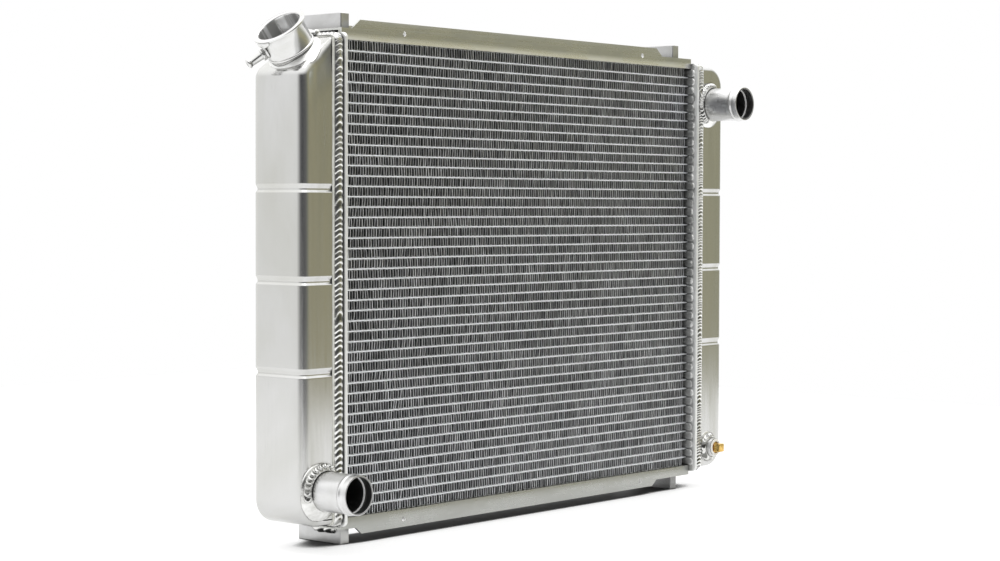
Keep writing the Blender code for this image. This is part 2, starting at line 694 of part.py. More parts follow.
def make_bar(level, side, name):
    low = (side * BAR_X - BAR_WIDTH / 2, BAR_FRONT, 0.0)
    high = (side * BAR_X + BAR_WIDTH / 2, BAR_BACK, BAR_HEIGHT[level])
    bar = block(name, low, high, ROLLED)
    stand(bar, level, SIDE_PLATE_Z[level] + CLASP + CHANNEL_THICKNESS + GAP)
    round_edges(bar, BAR_EDGE, segments=1)


# ---------------------------------------------------------------- assembly

def rest_on_origin():
    """Move the frame so that the origin is the bottom centre of the whole box."""
    graph = bpy.context.evaluated_depsgraph_get()
    corners = []
    for obj in PARTS.objects:
        if obj.type == "MESH":
            shape = obj.evaluated_get(graph)
            corners += [shape.matrix_world @ v.co for v in shape.data.vertices]
    low = [min(c[i] for c in corners) for i in range(3)]
    high = [max(c[i] for c in corners) for i in range(3)]
    FRAME.location = (-(low[0] + high[0]) / 2, -(low[1] + high[1]) / 2, -low[2])


def make_radiator():
    make_core()
    make_header(-1, "header_plate_left")
    make_header(1, "header_plate_right")
    tank_left = make_tank(-1, "tank_left")
    tank_right = make_tank(1, "tank_right")
    bead_left = make_tank_bead(-1, "tank_weld_left")
    bead_right = make_tank_bead(1, "tank_weld_right")
    make_neck(-TANK_MIDDLE, LOWER_NECK_Z, tank_left, bead_left, "lower")
    make_neck(TANK_MIDDLE, UPPER_NECK_Z, tank_right, bead_right, "upper")
    make_filler(tank_left, bead_left)
    make_drain(tank_right, bead_right)
    for level in ("top", "bottom"):
        make_side_plate(level)
        make_channel(level)
        make_bar(level, -1, f"mount_bar_{level}_left")
        make_bar(level, 1, f"mount_bar_{level}_right")
    bpy.context.view_layer.update()
    rest_on_origin()


make_radiator()
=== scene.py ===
"""Looks of the crossflow radiator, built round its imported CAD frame.

Shapes are laid out in millimetres around the middle of the core, as in the CAD, and moved into
the row's frame when they are built. X runs along the tubes, -Y is the hose side, +Z is up.
"""
import random
from math import copysign, cos, degrees, hypot, pi, radians, sin, sqrt, tan

import bmesh
import bpy
from mathutils import Matrix, Vector, noise


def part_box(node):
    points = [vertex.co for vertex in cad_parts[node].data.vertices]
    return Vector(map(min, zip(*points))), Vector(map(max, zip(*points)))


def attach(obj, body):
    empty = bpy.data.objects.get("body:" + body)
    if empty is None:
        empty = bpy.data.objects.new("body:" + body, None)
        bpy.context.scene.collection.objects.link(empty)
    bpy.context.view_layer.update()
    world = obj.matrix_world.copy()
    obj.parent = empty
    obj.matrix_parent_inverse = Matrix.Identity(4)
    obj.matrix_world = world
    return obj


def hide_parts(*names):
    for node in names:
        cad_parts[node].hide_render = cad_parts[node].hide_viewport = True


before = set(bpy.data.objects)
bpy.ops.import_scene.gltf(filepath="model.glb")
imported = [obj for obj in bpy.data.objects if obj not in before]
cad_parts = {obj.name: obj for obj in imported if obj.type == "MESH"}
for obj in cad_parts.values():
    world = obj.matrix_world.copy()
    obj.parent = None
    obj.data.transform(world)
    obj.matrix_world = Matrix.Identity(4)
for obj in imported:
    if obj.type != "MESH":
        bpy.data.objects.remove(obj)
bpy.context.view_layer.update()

MM = 0.001
LOW_PLATE, HIGH_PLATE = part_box("header_plate_left"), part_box("header_plate_right")
CORE = Vector([(LOW_PLATE[0][i] + HIGH_PLATE[1][i]) / 2 for i in range(3)])

# Sizes shared with the CAD, in millimetres
TUBES, PITCH, TUBE_HEIGHT, CORE_DEPTH = 45, 10.0, 2.0, 54.0
FIN_FRONT = CORE_DEPTH / 2 - 1.0
HEADER_FACE, HEADER_BACK = 285.75, 289.75
HEADER_DEPTH, HEADER_HEIGHT = 77.0, 472.5
TANK_START, TANK_WIDTH, TANK_DEPTH, TANK_HEIGHT = 290.05, 52.2, 69.0, 466.0
TANK_FRONT = -TANK_DEPTH / 2
EDGE = 5.0
TANK_MIDDLE = TANK_START + TANK_WIDTH / 2 + 0.3
SHOULDER = radians(39.0)
RIBS = (-87.5, 0.0, 87.5)
NECK_RADIUS, NECK_LENGTH, NECK_WALL = 19.0, 49.0, 1.8
LOWER_NECK = (-TANK_MIDDLE, TANK_FRONT, -199.0)
UPPER_NECK = (TANK_MIDDLE, TANK_FRONT, 189.5)
DRAIN = (TANK_MIDDLE, TANK_FRONT, -210.0)
FILLER = (-323.6, 0.0, 220.2)
CHANNEL_HOLES_X, HOLE_REACH = (-198.0, 192.0), 2.49
CHANNEL_FACE = 29.3                              # from the core's middle plane

# Shapes that only the visual model has
FLAT_CORNER, BIG_CORNER = 9.4, 23.0              # flat of the left tank's top, round corners
TOP_BEND, SHOULDER_BEND = 8.0, 15.0              # radii where the shoulder starts and ends
FOLD, FOLD_WALL, FOLD_SKIN = 3.6, 0.50, 0.3      # fins: spacing, edge width, crest thickness
THREAD_PITCH = 1.411
HOLE_FACE = 2.2e-5                               # square metres, the largest face in a hole
CORNERS = ((1, 1, 0), (-1, 1, 90), (-1, -1, 180), (1, -1, 270))   # signs and first angle
OUTWARD = Matrix.Rotation(radians(90.0), 4, "X")             # local +Z becomes -Y

# Studio, in metres
FLOOR_SIZE, FLOOR_RIGHT, FLOOR_FRONT = 3.4, 1.45, -1.0
CAMERA_PLACE = (-1.72658, -1.45192, 0.32936)
CAMERA_TURN = (1.535355, -0.002878, -0.861797)
CAMERA_LENS, CAMERA_SENSOR = 76.86, 36.0         # millimetres


def at(x, y, z):
    """Transform that moves to a point."""
    return Matrix.Translation((x, y, z))


def smoothstep(low, high, value):
    """0 below low, 1 above high, with a soft ramp; low and high may be swapped."""
    t = min(max((value - low) / (high - low), 0.0), 1.0)
    return t * t * (3.0 - 2.0 * t)


def wander(x, y=0.0, z=0.0, seed=0.0):
    """Smooth repeatable noise between about -1 and 1."""
    return noise.noise(Vector((x + seed * 17.31, y - seed * 5.7, z + seed * 3.1)))


# ---------------- materials

def node(tree, kind, **values):
    """New node; each value sets a property of that name, or else an input, or links to it."""
    made = tree.nodes.new(kind)
    for key, value in values.items():
        if hasattr(made, key):
            setattr(made, key, value)
        elif isinstance(value, bpy.types.NodeSocket):
            tree.links.new(value, made.inputs[key])
        else:
            made.inputs[key.replace("_", " ")].default_value = value
    return made


def noise_map(tree, coords, stretch, detail=3.0, roughness=0.55, distortion=0.0):
    """Noise read in object coordinates, with a number of cycles per metre on each axis."""
    scaled = node(tree, "ShaderNodeVectorMath", operation="MULTIPLY")
    scaled.inputs[1].default_value = stretch
    tree.links.new(coords, scaled.inputs[0])
    return node(tree, "ShaderNodeTexNoise", Vector=scaled.outputs[0], Scale=1.0, Detail=detail,
                Roughness=roughness, Distortion=distortion).outputs["Fac"]


def remap(tree, value, low, high, to_low=0.0, to_high=1.0):
    """Socket value from one range to another, clamped to the second."""
    return node(tree, "ShaderNodeMapRange", Value=value, From_Min=low, From_Max=high,
                To_Min=to_low, To_Max=to_high).outputs["Result"]


def blend_colours(tree, factor, first, second):
    """First where factor is 0, second where it is 1; each is a colour or a socket."""
    mix = node(tree, "ShaderNodeMix", data_type="RGBA", Factor=factor)
    for socket, colour in ((mix.inputs["A"], first), (mix.inputs["B"], second)):
        if isinstance(colour, tuple):
            socket.default_value = (*colour, 1.0)
        else:
            tree.links.new(colour, socket)
    return mix.outputs["Result"]


def new_material(name, metallic=1.0):
    """A material with its node tree, its shader and the object coordinates."""
    material = bpy.data.materials.new(name)
    material.use_nodes = True
    tree = material.node_tree
    shader = tree.nodes["Principled BSDF"]
    shader.inputs["Metallic"].default_value = metallic
    coords = node(tree, "ShaderNodeTexCoord").outputs["Object"]
    return material, tree, shader, coords


def surface(tree, shader, colour, rough, *bumps):
    """Colour, roughness and bumps, each a height socket, a distance in metres and a strength."""
    tree.links.new(colour, shader.inputs["Base Color"])
    tree.links.new(rough, shader.inputs["Roughness"])
    below = {}
    for height, distance, strength in bumps:
        bump = node(tree, "ShaderNodeBump", Strength=strength, Distance=distance, Height=height,
                    **below)
        below = {"Normal": bump.outputs["Normal"]}
    if bumps:
        tree.links.new(below["Normal"], shader.inputs["Normal"])


def crevices(tree, reach, low=0.25, high=0.85, samples=6):
    """1 in the open, 0 deep in a seam or corner, from the geometry within reach metres."""
    closed = node(tree, "ShaderNodeAmbientOcclusion", samples=samples, Distance=reach)
    return remap(tree, closed.outputs["AO"], low, high)


def axes(tree, coords):
    """X, Y and Z of a vector socket."""
    return node(tree, "ShaderNodeSeparateXYZ", Vector=coords).outputs


def chain(tree, value, *steps):
    """A socket through a row of sums, each an operation and its second number, if it has one."""
    for operation, *number in steps:
        step = node(tree, "ShaderNodeMath", operation=operation)
        tree.links.new(value, step.inputs[0])
        if number:
            step.inputs[1].default_value = number[0]
        value = step.outputs[0]
    return value


def add(tree, first, second):
    """Sum of two sockets."""
    total = node(tree, "ShaderNodeMath", operation="ADD")
    tree.links.new(first, total.inputs[0])
    tree.links.new(second, total.inputs[1])
    return total.outputs[0]


def from_core(tree, coords, axis):
    """Distance in metres from the core's middle plane square to X, Y or Z."""
    middle = CORE["XYZ".index(axis)]
    return chain(tree, axes(tree, coords)[axis], ("SUBTRACT", middle), ("ABSOLUTE",))


def channel_colour(tree, coords, patch, colour):
    """Painted shade on the lower channel, darker with random patches; on the upper one, a painted
    highlight along the edge by the core.
    """
    edge = remap(tree, from_core(tree, coords, "Z"), *CHANNEL_EDGE, 1.0, 0.0)
    above = remap(tree, axes(tree, coords)["Z"], CORE.z - 0.01, CORE.z + 0.01)
    low_shade = blend_colours(tree, patch, (0.46, 0.465, 0.445), (0.38, 0.385, 0.365))
    light = blend_colours(tree, edge, colour, (0.95, 0.95, 0.93))
    return blend_colours(tree, above, low_shade, light)


def metal(name, clean, stained, rough, grain, patches=(22.0, 22.0, 22.0), grain_bump=0.1,
          lumps=0.0, lump_scale=120.0, cover=(0.42, 0.72), tilt=None, hollow=(0.20, 0.20, 0.19),
          seam=0.012, bow=None, metallic=1.0):
    """Aluminium with rolled or turned grain, soft stains, fine scratches and rough spots.

    Grain, patches and lump_scale are in cycles a metre. Cover is the range of the patch noise
    over which clean turns to stained. Hollow is the colour of painted shade, laid in seams less
    than seam metres wide and in the valleys of weld ripples. Bow is the middle and the curvature
    of a face that bulges between its edges; it also paints the channels' shade and highlight.
    """
    material, tree, shader, coords = new_material(name, metallic)
    if tilt:
        coords = node(tree, "ShaderNodeMapping", vector_type="POINT", Vector=coords,
                      Rotation=tilt).outputs["Vector"]
    lines = noise_map(tree, coords, grain, detail=4.0, roughness=0.7)
    patch = noise_map(tree, coords, patches, detail=4.0, roughness=0.6, distortion=0.4)
    stain = remap(tree, patch, *cover)
    colour = blend_colours(tree, stain, clean, stained)
    # the channels get painted shade below the core's middle and a painted highlight along the
    # upper edge
    if bow:
        colour = channel_colour(tree, coords, patch, colour)
    scratch = noise_map(tree, coords, tuple(g * 2.3 + 60.0 for g in grain), detail=2.0)
    marks = remap(tree, scratch, 0.62, 0.70, 0.0, 0.16)
    colour = blend_colours(tree, marks, colour, tuple(min(1.0, c * 0.72) for c in clean))
    # painted shade in the valleys of weld ripples, read from the mesh
    valley_shade = node(tree, "ShaderNodeAttribute", attribute_name="valley_shade").outputs["Fac"]
    colour = blend_colours(tree, valley_shade, colour, hollow)
    # Painted shade: the colour turns to the hollow colour in seams and corners, from the geometry
    # close by.
    colour = blend_colours(tree, crevices(tree, seam), hollow, colour)
    spread = add(tree, remap(tree, lines, 0.3, 0.7, *rough),
                 remap(tree, patch, 0.45, 0.75, 0.0, 0.10))
    bumps = [(lines, 0.00005, grain_bump)]
    if bow:
        middle, curve = bow
        bulge = chain(tree, from_core(tree, coords, "Z"), ("SUBTRACT", middle), ("POWER", 2.0),
                      ("MULTIPLY", -curve / 2))
        bumps.append((bulge, 1.0, 1.0))
    if lumps:
        bumps.append((noise_map(tree, coords, (lump_scale,) * 3), 0.0006, lumps))
    surface(tree, shader, colour, spread, *bumps)
    return material


CHANNEL_EDGE = (0.2325, 0.2375)                  # metres from the core's middle: the band of painted highlight
CHANNEL_BOW = (0.2392, 14.0)                     # middle of the face in metres, and curvature

# Each metal: clean colour, stained colour, roughness range, grain
SHEET_Z = metal("rolled_sheet_upright", (0.60, 0.60, 0.595), (0.52, 0.52, 0.49), (0.14, 0.20),
                (420.0, 420.0, 7.0), patches=(55.0, 6.0, 4.0), grain_bump=0.04, lumps=0.03,
                lump_scale=22.0, seam=0.004)
SHEET_X = metal("rolled_sheet_lengthwise", (0.60, 0.605, 0.585), (0.47, 0.475, 0.445),
                (0.22, 0.32), (10.0, 420.0, 420.0), patches=(22.0, 40.0, 45.0),
                grain_bump=0.04, lumps=0.03, lump_scale=20.0, seam=0.003, bow=CHANNEL_BOW)
# Near-white painted highlight, for the groove inside the hose necks and the inside of the channel
# holes.
PAINTED_HIGHLIGHT = metal("painted_highlight", (0.98, 0.98, 0.97), (0.85, 0.85, 0.84), (0.45, 0.55),
              (300.0,) * 3, grain_bump=0.05, seam=0.0003, metallic=0.2)
SAWN = ((0.60, 0.60, 0.60), (0.48, 0.48, 0.47), (0.28, 0.38), (300.0, 30.0, 300.0))
BAR = metal("sawn_bar", *SAWN, grain_bump=0.12)
# A copy of the sawn bar painted darker as shade, deeper into its seams, for the bar that stands in
# shadow under the tank.
SHADED_BAR = metal("sawn_bar_painted_shade", *SAWN, grain_bump=0.12, hollow=(0.06, 0.06, 0.06), seam=0.026)
# Near-white skirt at the foot of the filler neck, a painted highlight where the shoulder reflects
# the overhead light.
BRIGHT = metal("melted_skirt", (0.88, 0.88, 0.87), (0.80, 0.80, 0.785), (0.40, 0.48),
               (60.0,) * 3, patches=(40.0,) * 3, grain_bump=0.02, seam=0.001)
WELD = metal("weld_metal", (0.84, 0.84, 0.825), (0.60, 0.60, 0.575), (0.12, 0.22),
             (260.0,) * 3, patches=(90.0,) * 3, grain_bump=0.05, lumps=0.05,
             lump_scale=420.0, seam=0.004)
TURNED = metal("turned_aluminium", (0.70, 0.70, 0.70), (0.65, 0.65, 0.64), (0.26, 0.34),
               (12.0, 1500.0, 12.0), patches=(40.0, 60.0, 40.0), grain_bump=0.08, seam=0.0012)
# The inside of the hose necks, the same turned metal painted dark as shade.
BORE = metal("neck_bore", (0.34, 0.34, 0.34), (0.26, 0.26, 0.26), (0.30, 0.40),
             (12.0, 1500.0, 12.0), patches=(40.0, 60.0, 40.0), grain_bump=0.08,
             hollow=(0.02, 0.02, 0.02), seam=0.030)
SPUN = metal("spun_filler_neck", (0.70, 0.70, 0.695), (0.62, 0.62, 0.60), (0.13, 0.20),
             (12.0, 12.0, 1500.0), patches=(40.0, 40.0, 60.0), grain_bump=0.06,
             tilt=(0.0, SHOULDER, 0.0), seam=0.005)
# Light and dark streaks along the inside of the filler neck, painted reflections.
THROAT = metal("filler_throat", (0.98, 0.98, 0.98), (0.50, 0.50, 0.49), (0.24, 0.34),
               (160.0, 160.0, 4.0), patches=(75.0, 75.0, 2.0), grain_bump=0.05,
               cover=(0.46, 0.54), tilt=(0.0, SHOULDER, 0.0), seam=0.001, metallic=0.8)
TUBE = metal("brazed_tube", (0.93, 0.95, 0.97), (0.80, 0.815, 0.83), (0.40, 0.50),
             (70.0, 500.0, 500.0), patches=(160.0, 60.0, 160.0), grain_bump=0.1, lumps=0.12,
             lump_scale=600.0, seam=0.0005, metallic=0.75)
TOE = metal("weld_toe", (0.78, 0.78, 0.73), (0.62, 0.62, 0.56), (0.5, 0.6),
            (300.0,) * 3, patches=(90.0, 90.0, 60.0), grain_bump=0.1, seam=0.003,
            metallic=0.35)


def header_material():
    """Grey brazed pillows between the tubes, a brighter lip at front and back painted as a
    highlight with a splashed edge, and painted shade in the crevices.
    """
    material, tree, shader, coords = new_material("header_sheet")
    splash = noise_map(tree, coords, (60.0, 60.0, 75.0), detail=4.0)
    edge = add(tree, from_core(tree, coords, "Y"),
               remap(tree, splash, 0.3, 0.7, -0.0028, 0.0028))
    # painted highlight: the front and back edges of the plate are painted brighter, with a ragged
    # boundary
    lip = remap(tree, edge, 0.0325, 0.0345)
    patch = noise_map(tree, coords, (120.0, 90.0, 150.0), detail=4.0)
    face = blend_colours(tree, remap(tree, patch, 0.4, 0.68),
                         (0.46, 0.465, 0.455), (0.30, 0.305, 0.30))
    fleck = noise_map(tree, coords, (330.0, 330.0, 260.0), detail=2.0)
    face = blend_colours(tree, remap(tree, fleck, 0.63, 0.70), face, (0.80, 0.80, 0.78))
    low = remap(tree, axes(tree, coords)["Z"], 0.02, 0.26, 0.7, 0.0)
    face = blend_colours(tree, low, face, (0.72, 0.72, 0.71))
    colour = blend_colours(tree, lip, face, (0.88, 0.885, 0.87))
    # painted shade: near-black in the narrow crevices of the plate
    colour = blend_colours(tree, crevices(tree, 0.006), (0.10, 0.10, 0.10), colour)
    surface(tree, shader, colour, remap(tree, patch, 0.3, 0.7, 0.48, 0.60),
            (fleck, 0.0004, 0.25), (splash, 0.0008, 0.15))
    return material


def fin_material():
    """Bright cut edge at the front and back of the core; the sheet between the folds is painted
    near-black as shade.
    """
    material, tree, shader, coords = new_material("fin_sheet")
    face = FIN_FRONT * MM
    inner = remap(tree, from_core(tree, coords, "Y"), face - 0.0022, face - 0.0001, 1.0, 0.0)
    patch = noise_map(tree, coords, (38.0, 30.0, 34.0), detail=4.0, distortion=0.6)
    edge = blend_colours(tree, remap(tree, patch, 0.40, 0.68),
                         (0.70, 0.71, 0.73), (0.92, 0.93, 0.96))
    # painted shade: the sheet inside the core, away from the cut edge, is near-black
    colour = blend_colours(tree, inner, edge, (0.055, 0.056, 0.059))
    fine = noise_map(tree, coords, (900.0, 900.0, 120.0))
    louvre = node(tree, "ShaderNodeTexWave", Vector=coords, bands_direction="Y", Scale=320.0,
                  Distortion=0.4).outputs["Fac"]
    surface(tree, shader, colour, remap(tree, fine, 0.3, 0.7, 0.38, 0.55),
            (fine, 0.0001, 0.2), (louvre, 0.0003, 0.4))
    return material


def brass_material():
    """Brass with turning lines and a light tarnish."""
    material, tree, shader, coords = new_material("machined_brass")
    patch = noise_map(tree, coords, (180.0,) * 3, detail=4.0)
    colour = blend_colours(tree, remap(tree, patch, 0.38, 0.66),
                           (0.83, 0.58, 0.20), (0.60, 0.37, 0.10))
    lines = noise_map(tree, coords, (2600.0, 300.0, 300.0))
    surface(tree, shader, colour, remap(tree, lines, 0.3, 0.7, 0.16, 0.30),
            (lines, 0.00005, 0.25))
    return material


def nylon_material():
    """Slightly uneven white nylon."""
    material, tree, shader, coords = new_material("white_washer", metallic=0.0)
    patch = noise_map(tree, coords, (260.0,) * 3)
    colour = blend_colours(tree, patch, (0.90, 0.90, 0.87), (0.80, 0.80, 0.77))
    surface(tree, shader, colour, remap(tree, patch, 0.3, 0.7, 0.40, 0.55),
            (noise_map(tree, coords, (1800.0,) * 3), 0.0001, 0.2))
    return material


def floor_material():
    """White sheet that glows a little, with a painted shadow in the narrow gap below the radiator.
    """
    material, tree, shader, coords = new_material("studio_floor", metallic=0.0)
    patch = noise_map(tree, coords, (1.5,) * 3)
    colour = blend_colours(tree, patch, (0.49, 0.49, 0.49), (0.52, 0.52, 0.52))
    # painted shadow: no glow and a near-black colour where the radiator closes the floor in
    open_floor = crevices(tree, 0.050, 0.23, 0.34, samples=32)
    colour = blend_colours(tree, open_floor, (0.03, 0.03, 0.03), colour)
    glow = blend_colours(tree, open_floor, (0.0, 0.0, 0.0), (1.0, 1.0, 1.0))
    surface(tree, shader, colour, remap(tree, patch, 0.3, 0.7, 0.55, 0.65))
    tree.links.new(glow, shader.inputs["Emission Color"])
    shader.inputs["Emission Strength"].default_value = 0.54
    shader.inputs["Specular IOR Level"].default_value = 0.25
    return material


HEADER, FIN, BRASS = header_material(), fin_material(), brass_material()
NYLON, FLOOR = nylon_material(), floor_material()


# ---------------- mesh tools

class Shape:
    """Collects faces in millimetres, then becomes one object riding on a body."""

    def __init__(self):
        self.verts, self.faces, self.valley_shade = [], [], {}

    def grid(self, rows, wrap_rows=False, wrap_columns=False):
        """Quads over a table of points; a wrap joins the last row or column to the first."""
        start, width = len(self.verts), len(rows[0])
        for row in rows:
            self.verts.extend(tuple(p) for p in row)
        for i in range(len(rows) - (not wrap_rows)):
            for j in range(width - (not wrap_columns)):
                a, b = start + i * width, start + (i + 1) % len(rows) * width
                k = (j + 1) % width
                self.faces.append((a + j, a + k, b + k, b + j))

    def polygon(self, points):
        """One flat face."""
        start = len(self.verts)
        self.verts.extend(tuple(p) for p in points)
        self.faces.append(tuple(range(start, start + len(points))))

    def loft(self, rows, ring=False):
        """Tube through a row of closed loops, with flat ends or joined into a ring."""
        self.grid(rows, wrap_rows=ring, wrap_columns=True)
        if not ring:
            self.polygon(rows[0][::-1])
            self.polygon(rows[-1])

    def turned(self, profile, place, steps=96, closed=True):
        """Turn (radius, height) points round local Z; a closed profile makes a ring."""
        angles = [2 * pi * step / steps for step in range(steps)]
        rows = [[place @ Vector((r * cos(a), r * sin(a), h)) for a in angles]
                for r, h in profile]
        self.loft(rows, closed)

    def mesh(self, name, sharp=40.0):
        """Mesh in metres in the row's frame, smooth but for edges over sharp degrees."""
        bm = bmesh.new()
        # a value on each vertex for the shade painted into weld ripple valleys
        layer = bm.verts.layers.float.new("valley_shade")
        made = [bm.verts.new(v) for v in self.verts]
        for index, amount in self.valley_shade.items():
            made[index][layer] = amount
        for face in self.faces:
            bm.faces.new([made[i] for i in face])
        bmesh.ops.remove_doubles(bm, verts=bm.verts, dist=0.002)
        bmesh.ops.dissolve_degenerate(bm, edges=bm.edges, dist=0.001)
        bmesh.ops.recalc_face_normals(bm, faces=bm.faces)
        bmesh.ops.scale(bm, vec=(MM, MM, MM), verts=bm.verts)
        bmesh.ops.translate(bm, vec=CORE, verts=bm.verts)
        mesh = bpy.data.meshes.new(name)
        bm.to_mesh(mesh)
        bm.free()
        mesh.shade_smooth()
        mesh.set_sharp_from_angle(angle=radians(sharp))
        return mesh

    def build(self, name, material, slot, *nodes, body="radiator", sharp=40.0):
        """The shape as a finished piece."""
        return piece(name, self.mesh(name, sharp), material, slot, *nodes, body=body)


def piece(name, mesh, material, slot, *nodes, body="radiator"):
    """A visible piece on a body, in place of the CAD nodes named."""
    mesh.materials.clear()
    mesh.materials.append(material)
    obj = bpy.data.objects.new(name, mesh)
    bpy.context.scene.collection.objects.link(obj)
    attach(obj, body)
    if nodes:
        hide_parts(*nodes)
    return obj


def carve(mesh, name, cutters, thickness=0.0, sharp=40.0):
    """A wall thickness first, then holes, with the results kept as plain mesh."""
    body = bpy.data.objects.new(name + "_blank", mesh)
    bpy.context.scene.collection.objects.link(body)
    if thickness:
        wall = body.modifiers.new("wall", "SOLIDIFY")
        wall.thickness, wall.offset = thickness * MM, -1.0
    tools = []
    for i, shape in enumerate(cutters):
        tool = bpy.data.objects.new(f"{name}_tool_{i}", shape.mesh(f"{name}_tool_{i}"))
        bpy.context.scene.collection.objects.link(tool)
        hole = body.modifiers.new("hole", "BOOLEAN")
        hole.operation, hole.solver, hole.object = "DIFFERENCE", "EXACT", tool
        tools.append(tool)
    graph = bpy.context.evaluated_depsgraph_get()
    result = bpy.data.meshes.new_from_object(body.evaluated_get(graph))
    result.name = name
    for obj in [body] + tools:
        bpy.data.objects.remove(obj)
    result.shade_smooth()
    result.set_sharp_from_angle(angle=radians(sharp))
    return result


def drill(radius, low, high, place):
    """Cylinder to cut with, between two heights on local Z."""
    shape = Shape()
    shape.turned([(radius, low), (radius, high)], place, steps=72, closed=False)
    return shape


def arc_points(centre, radius, start, end, steps):
    """Points with their normals along an arc, angles in degrees."""
    found = []
    for step in range(steps + 1):
        angle = radians(start + (end - start) * step / steps)
        n = Vector((cos(angle), sin(angle)))
        found.append((Vector(centre) + n * radius, n))
    return found


def rounded(half_x, half_y, corner, inset, steps):
    """Points and normals round a rectangle with round corners, drawn in by an inset."""
    found = []
    for sx, sy, start in CORNERS:
        centre = (sx * (half_x - corner), sy * (half_y - corner))
        found += arc_points(centre, corner - inset, start, start + 90, steps)
    return found


def repaint(obj, place, choose, *materials):
    """More materials for some faces: choose gets a face's middle, in local millimetres."""
    for material in materials:
        obj.data.materials.append(material)
    inward = place.inverted()
    for face in obj.data.polygons:
        face.material_index = choose(inward @ ((face.center - CORE) / MM))


# ---------------- core

def tube_z(row):
    """Height of a tube's middle, counted from the top; halves are the fins between."""
    return ((TUBES - 1) / 2 - row) * PITCH


def make_tubes():
    """Flat tubes with round noses, hollow to their ends inside the tanks."""
    shape = Shape()
    reach, wall = HEADER_BACK + 3.0, 0.4
    outer, inner = [], []
    for radius, store in ((TUBE_HEIGHT / 2, outer), (TUBE_HEIGHT / 2 - wall, inner)):
        flat = CORE_DEPTH / 2 - TUBE_HEIGHT / 2
        for side in (-1, 1):
            for step in range(9):
                angle = radians(-90 * side + 180 * step / 8) + (pi if side < 0 else 0)
                store.append((side * flat + radius * cos(angle), radius * sin(angle)))
    stations = [-reach + 2 * reach * i / 40 for i in range(41)]
    for row in range(TUBES):
        z = tube_z(row)
        skins = []
        for x in stations:
            dip = 0.10 * wander(x * 0.02, row * 3.7)
            push = 0.12 * wander(x * 0.03, row * 1.9, 4.0)
            skins.append([(x, y + (push if y < 0 else 0.0), z + dip + h) for y, h in outer])
        skins += [[(x, y, z + h) for y, h in inner] for x in (stations[-1], stations[0])]
        shape.loft(skins, ring=True)
    banks = [f"core_bank_{i:02d}" for i in range(1, 16)]
    shape.build("core_tubes", TUBE, "brazed_aluminium", *banks)


def make_fins():
    """Folded strips between the tubes: thin upright walls, each a little out of true."""
    rng = random.Random(7)
    end = HEADER_FACE - 6.0
    half_fin = (PITCH - TUBE_HEIGHT) / 2
    for part, rows in (("upper", range(23)), ("lower", range(23, TUBES + 1))):
        shape = Shape()
        for row in rows:
            low = tube_z(row - 0.5) - half_fin
            high = tube_z(row - 0.5) + half_fin + (1.0 if row == 0 else 0.0)
            count, shift = int(2 * end / FOLD), rng.uniform(0.0, 1.0)
            upper, lower = [], []
            for i in range(count):
                x = -end + (i + shift) * FOLD + rng.uniform(-0.35, 0.35)
                lean = 0.55 * wander(x * 0.035, row * 0.9, seed=2.0) + rng.uniform(-0.25, 0.25)
                half = FOLD_WALL / 2 + rng.uniform(-0.12, 0.12)
                if i % 2:                        # walls going down have their outside on the right
                    half = -half
                foot = [(x - lean - half, low + FOLD_SKIN), (x - lean + half, low)]
                head = [(x + lean - half, high), (x + lean + half, high - FOLD_SKIN)]
                if i % 2:
                    foot, head = head, foot
                upper += [foot[0], head[0]]
                lower += [foot[1], head[1]]
            loop = upper + lower[::-1]
            bend = [rng.uniform(-0.12, 0.12) for _ in loop]
            layers = [[(px + b * (abs(y) == FIN_FRONT), y, pz) for b, (px, pz) in zip(bend, loop)]
                      for y in (-FIN_FRONT, 2.0 - FIN_FRONT, FIN_FRONT - 2.0, FIN_FRONT)]
            start = len(shape.verts)
            shape.grid(layers, wrap_columns=True)
            width, last = len(loop), start + (len(layers) - 1) * len(loop)
            for i in range(2 * count - 1):
                a, b, c, d = i, i + 1, width - 2 - i, width - 1 - i
                shape.faces.append((start + d, start + c, start + b, start + a))
                shape.faces.append((last + a, last + b, last + c, last + d))
        first = 1 if part == "upper" else 9
        strips = [f"fin_strip_{i:02d}" for i in range(first, first + 8)]
        shape.build(f"core_fins_{part}", FIN, "fin_aluminium", *strips, sharp=30.0)


# ---------------- header plates

def make_header(side, name):
    """Plate with rolled edges, and a pillow pressed up between each pair of tubes."""
    shape = Shape()
    half_y, half_z, corner, edge = HEADER_DEPTH / 2, HEADER_HEIGHT / 2, 5.0, 0.9

    def loop(inset, x):
        return [(side * x, p.x, p.y) for p, _ in rounded(half_y, half_z, corner, inset, 6)]

    rows = [loop(edge, HEADER_FACE), loop(edge * 0.3, HEADER_FACE + edge * 0.3),
            loop(0.0, HEADER_FACE + edge), loop(0.0, HEADER_BACK - edge),
            loop(edge * 0.3, HEADER_BACK - edge * 0.3), loop(edge, HEADER_BACK)]
    shape.loft(rows)
    for row in range(TUBES + 1):
        z = tube_z(row - 0.5)
        reach = CORE_DEPTH / 2 + 7.5 + 1.6 * wander(row * 1.3, seed=side + 3.0)
        tall = 4.5 + 0.3 * wander(row * 2.1, seed=side + 5.0)
        rows = []
        for i in range(9):
            t = i / 8 * 0.5 * pi
            rise, shrink = 1.8 * sin(t), cos(t) ** 0.8 if i < 8 else 0.0
            ring = []
            for k in range(40):
                angle = 2 * pi * k / 40
                cy = copysign(reach - tall, cos(angle))
                lump = 1.0 + 0.10 * wander(k * 0.5, row * 2.0, i * 0.4, seed=side + 1.0)
                y = cy * (0.35 + 0.65 * min(1.0, shrink + 0.2)) + tall * shrink * cos(angle)
                ring.append((side * (HEADER_FACE - rise * lump),
                             y, z + tall * shrink * sin(angle)))
            rows.append(ring)
        shape.grid(rows, wrap_columns=True)
    shape.build(name, HEADER, "rolled_aluminium", name.replace("_sheet", ""), sharp=60.0)


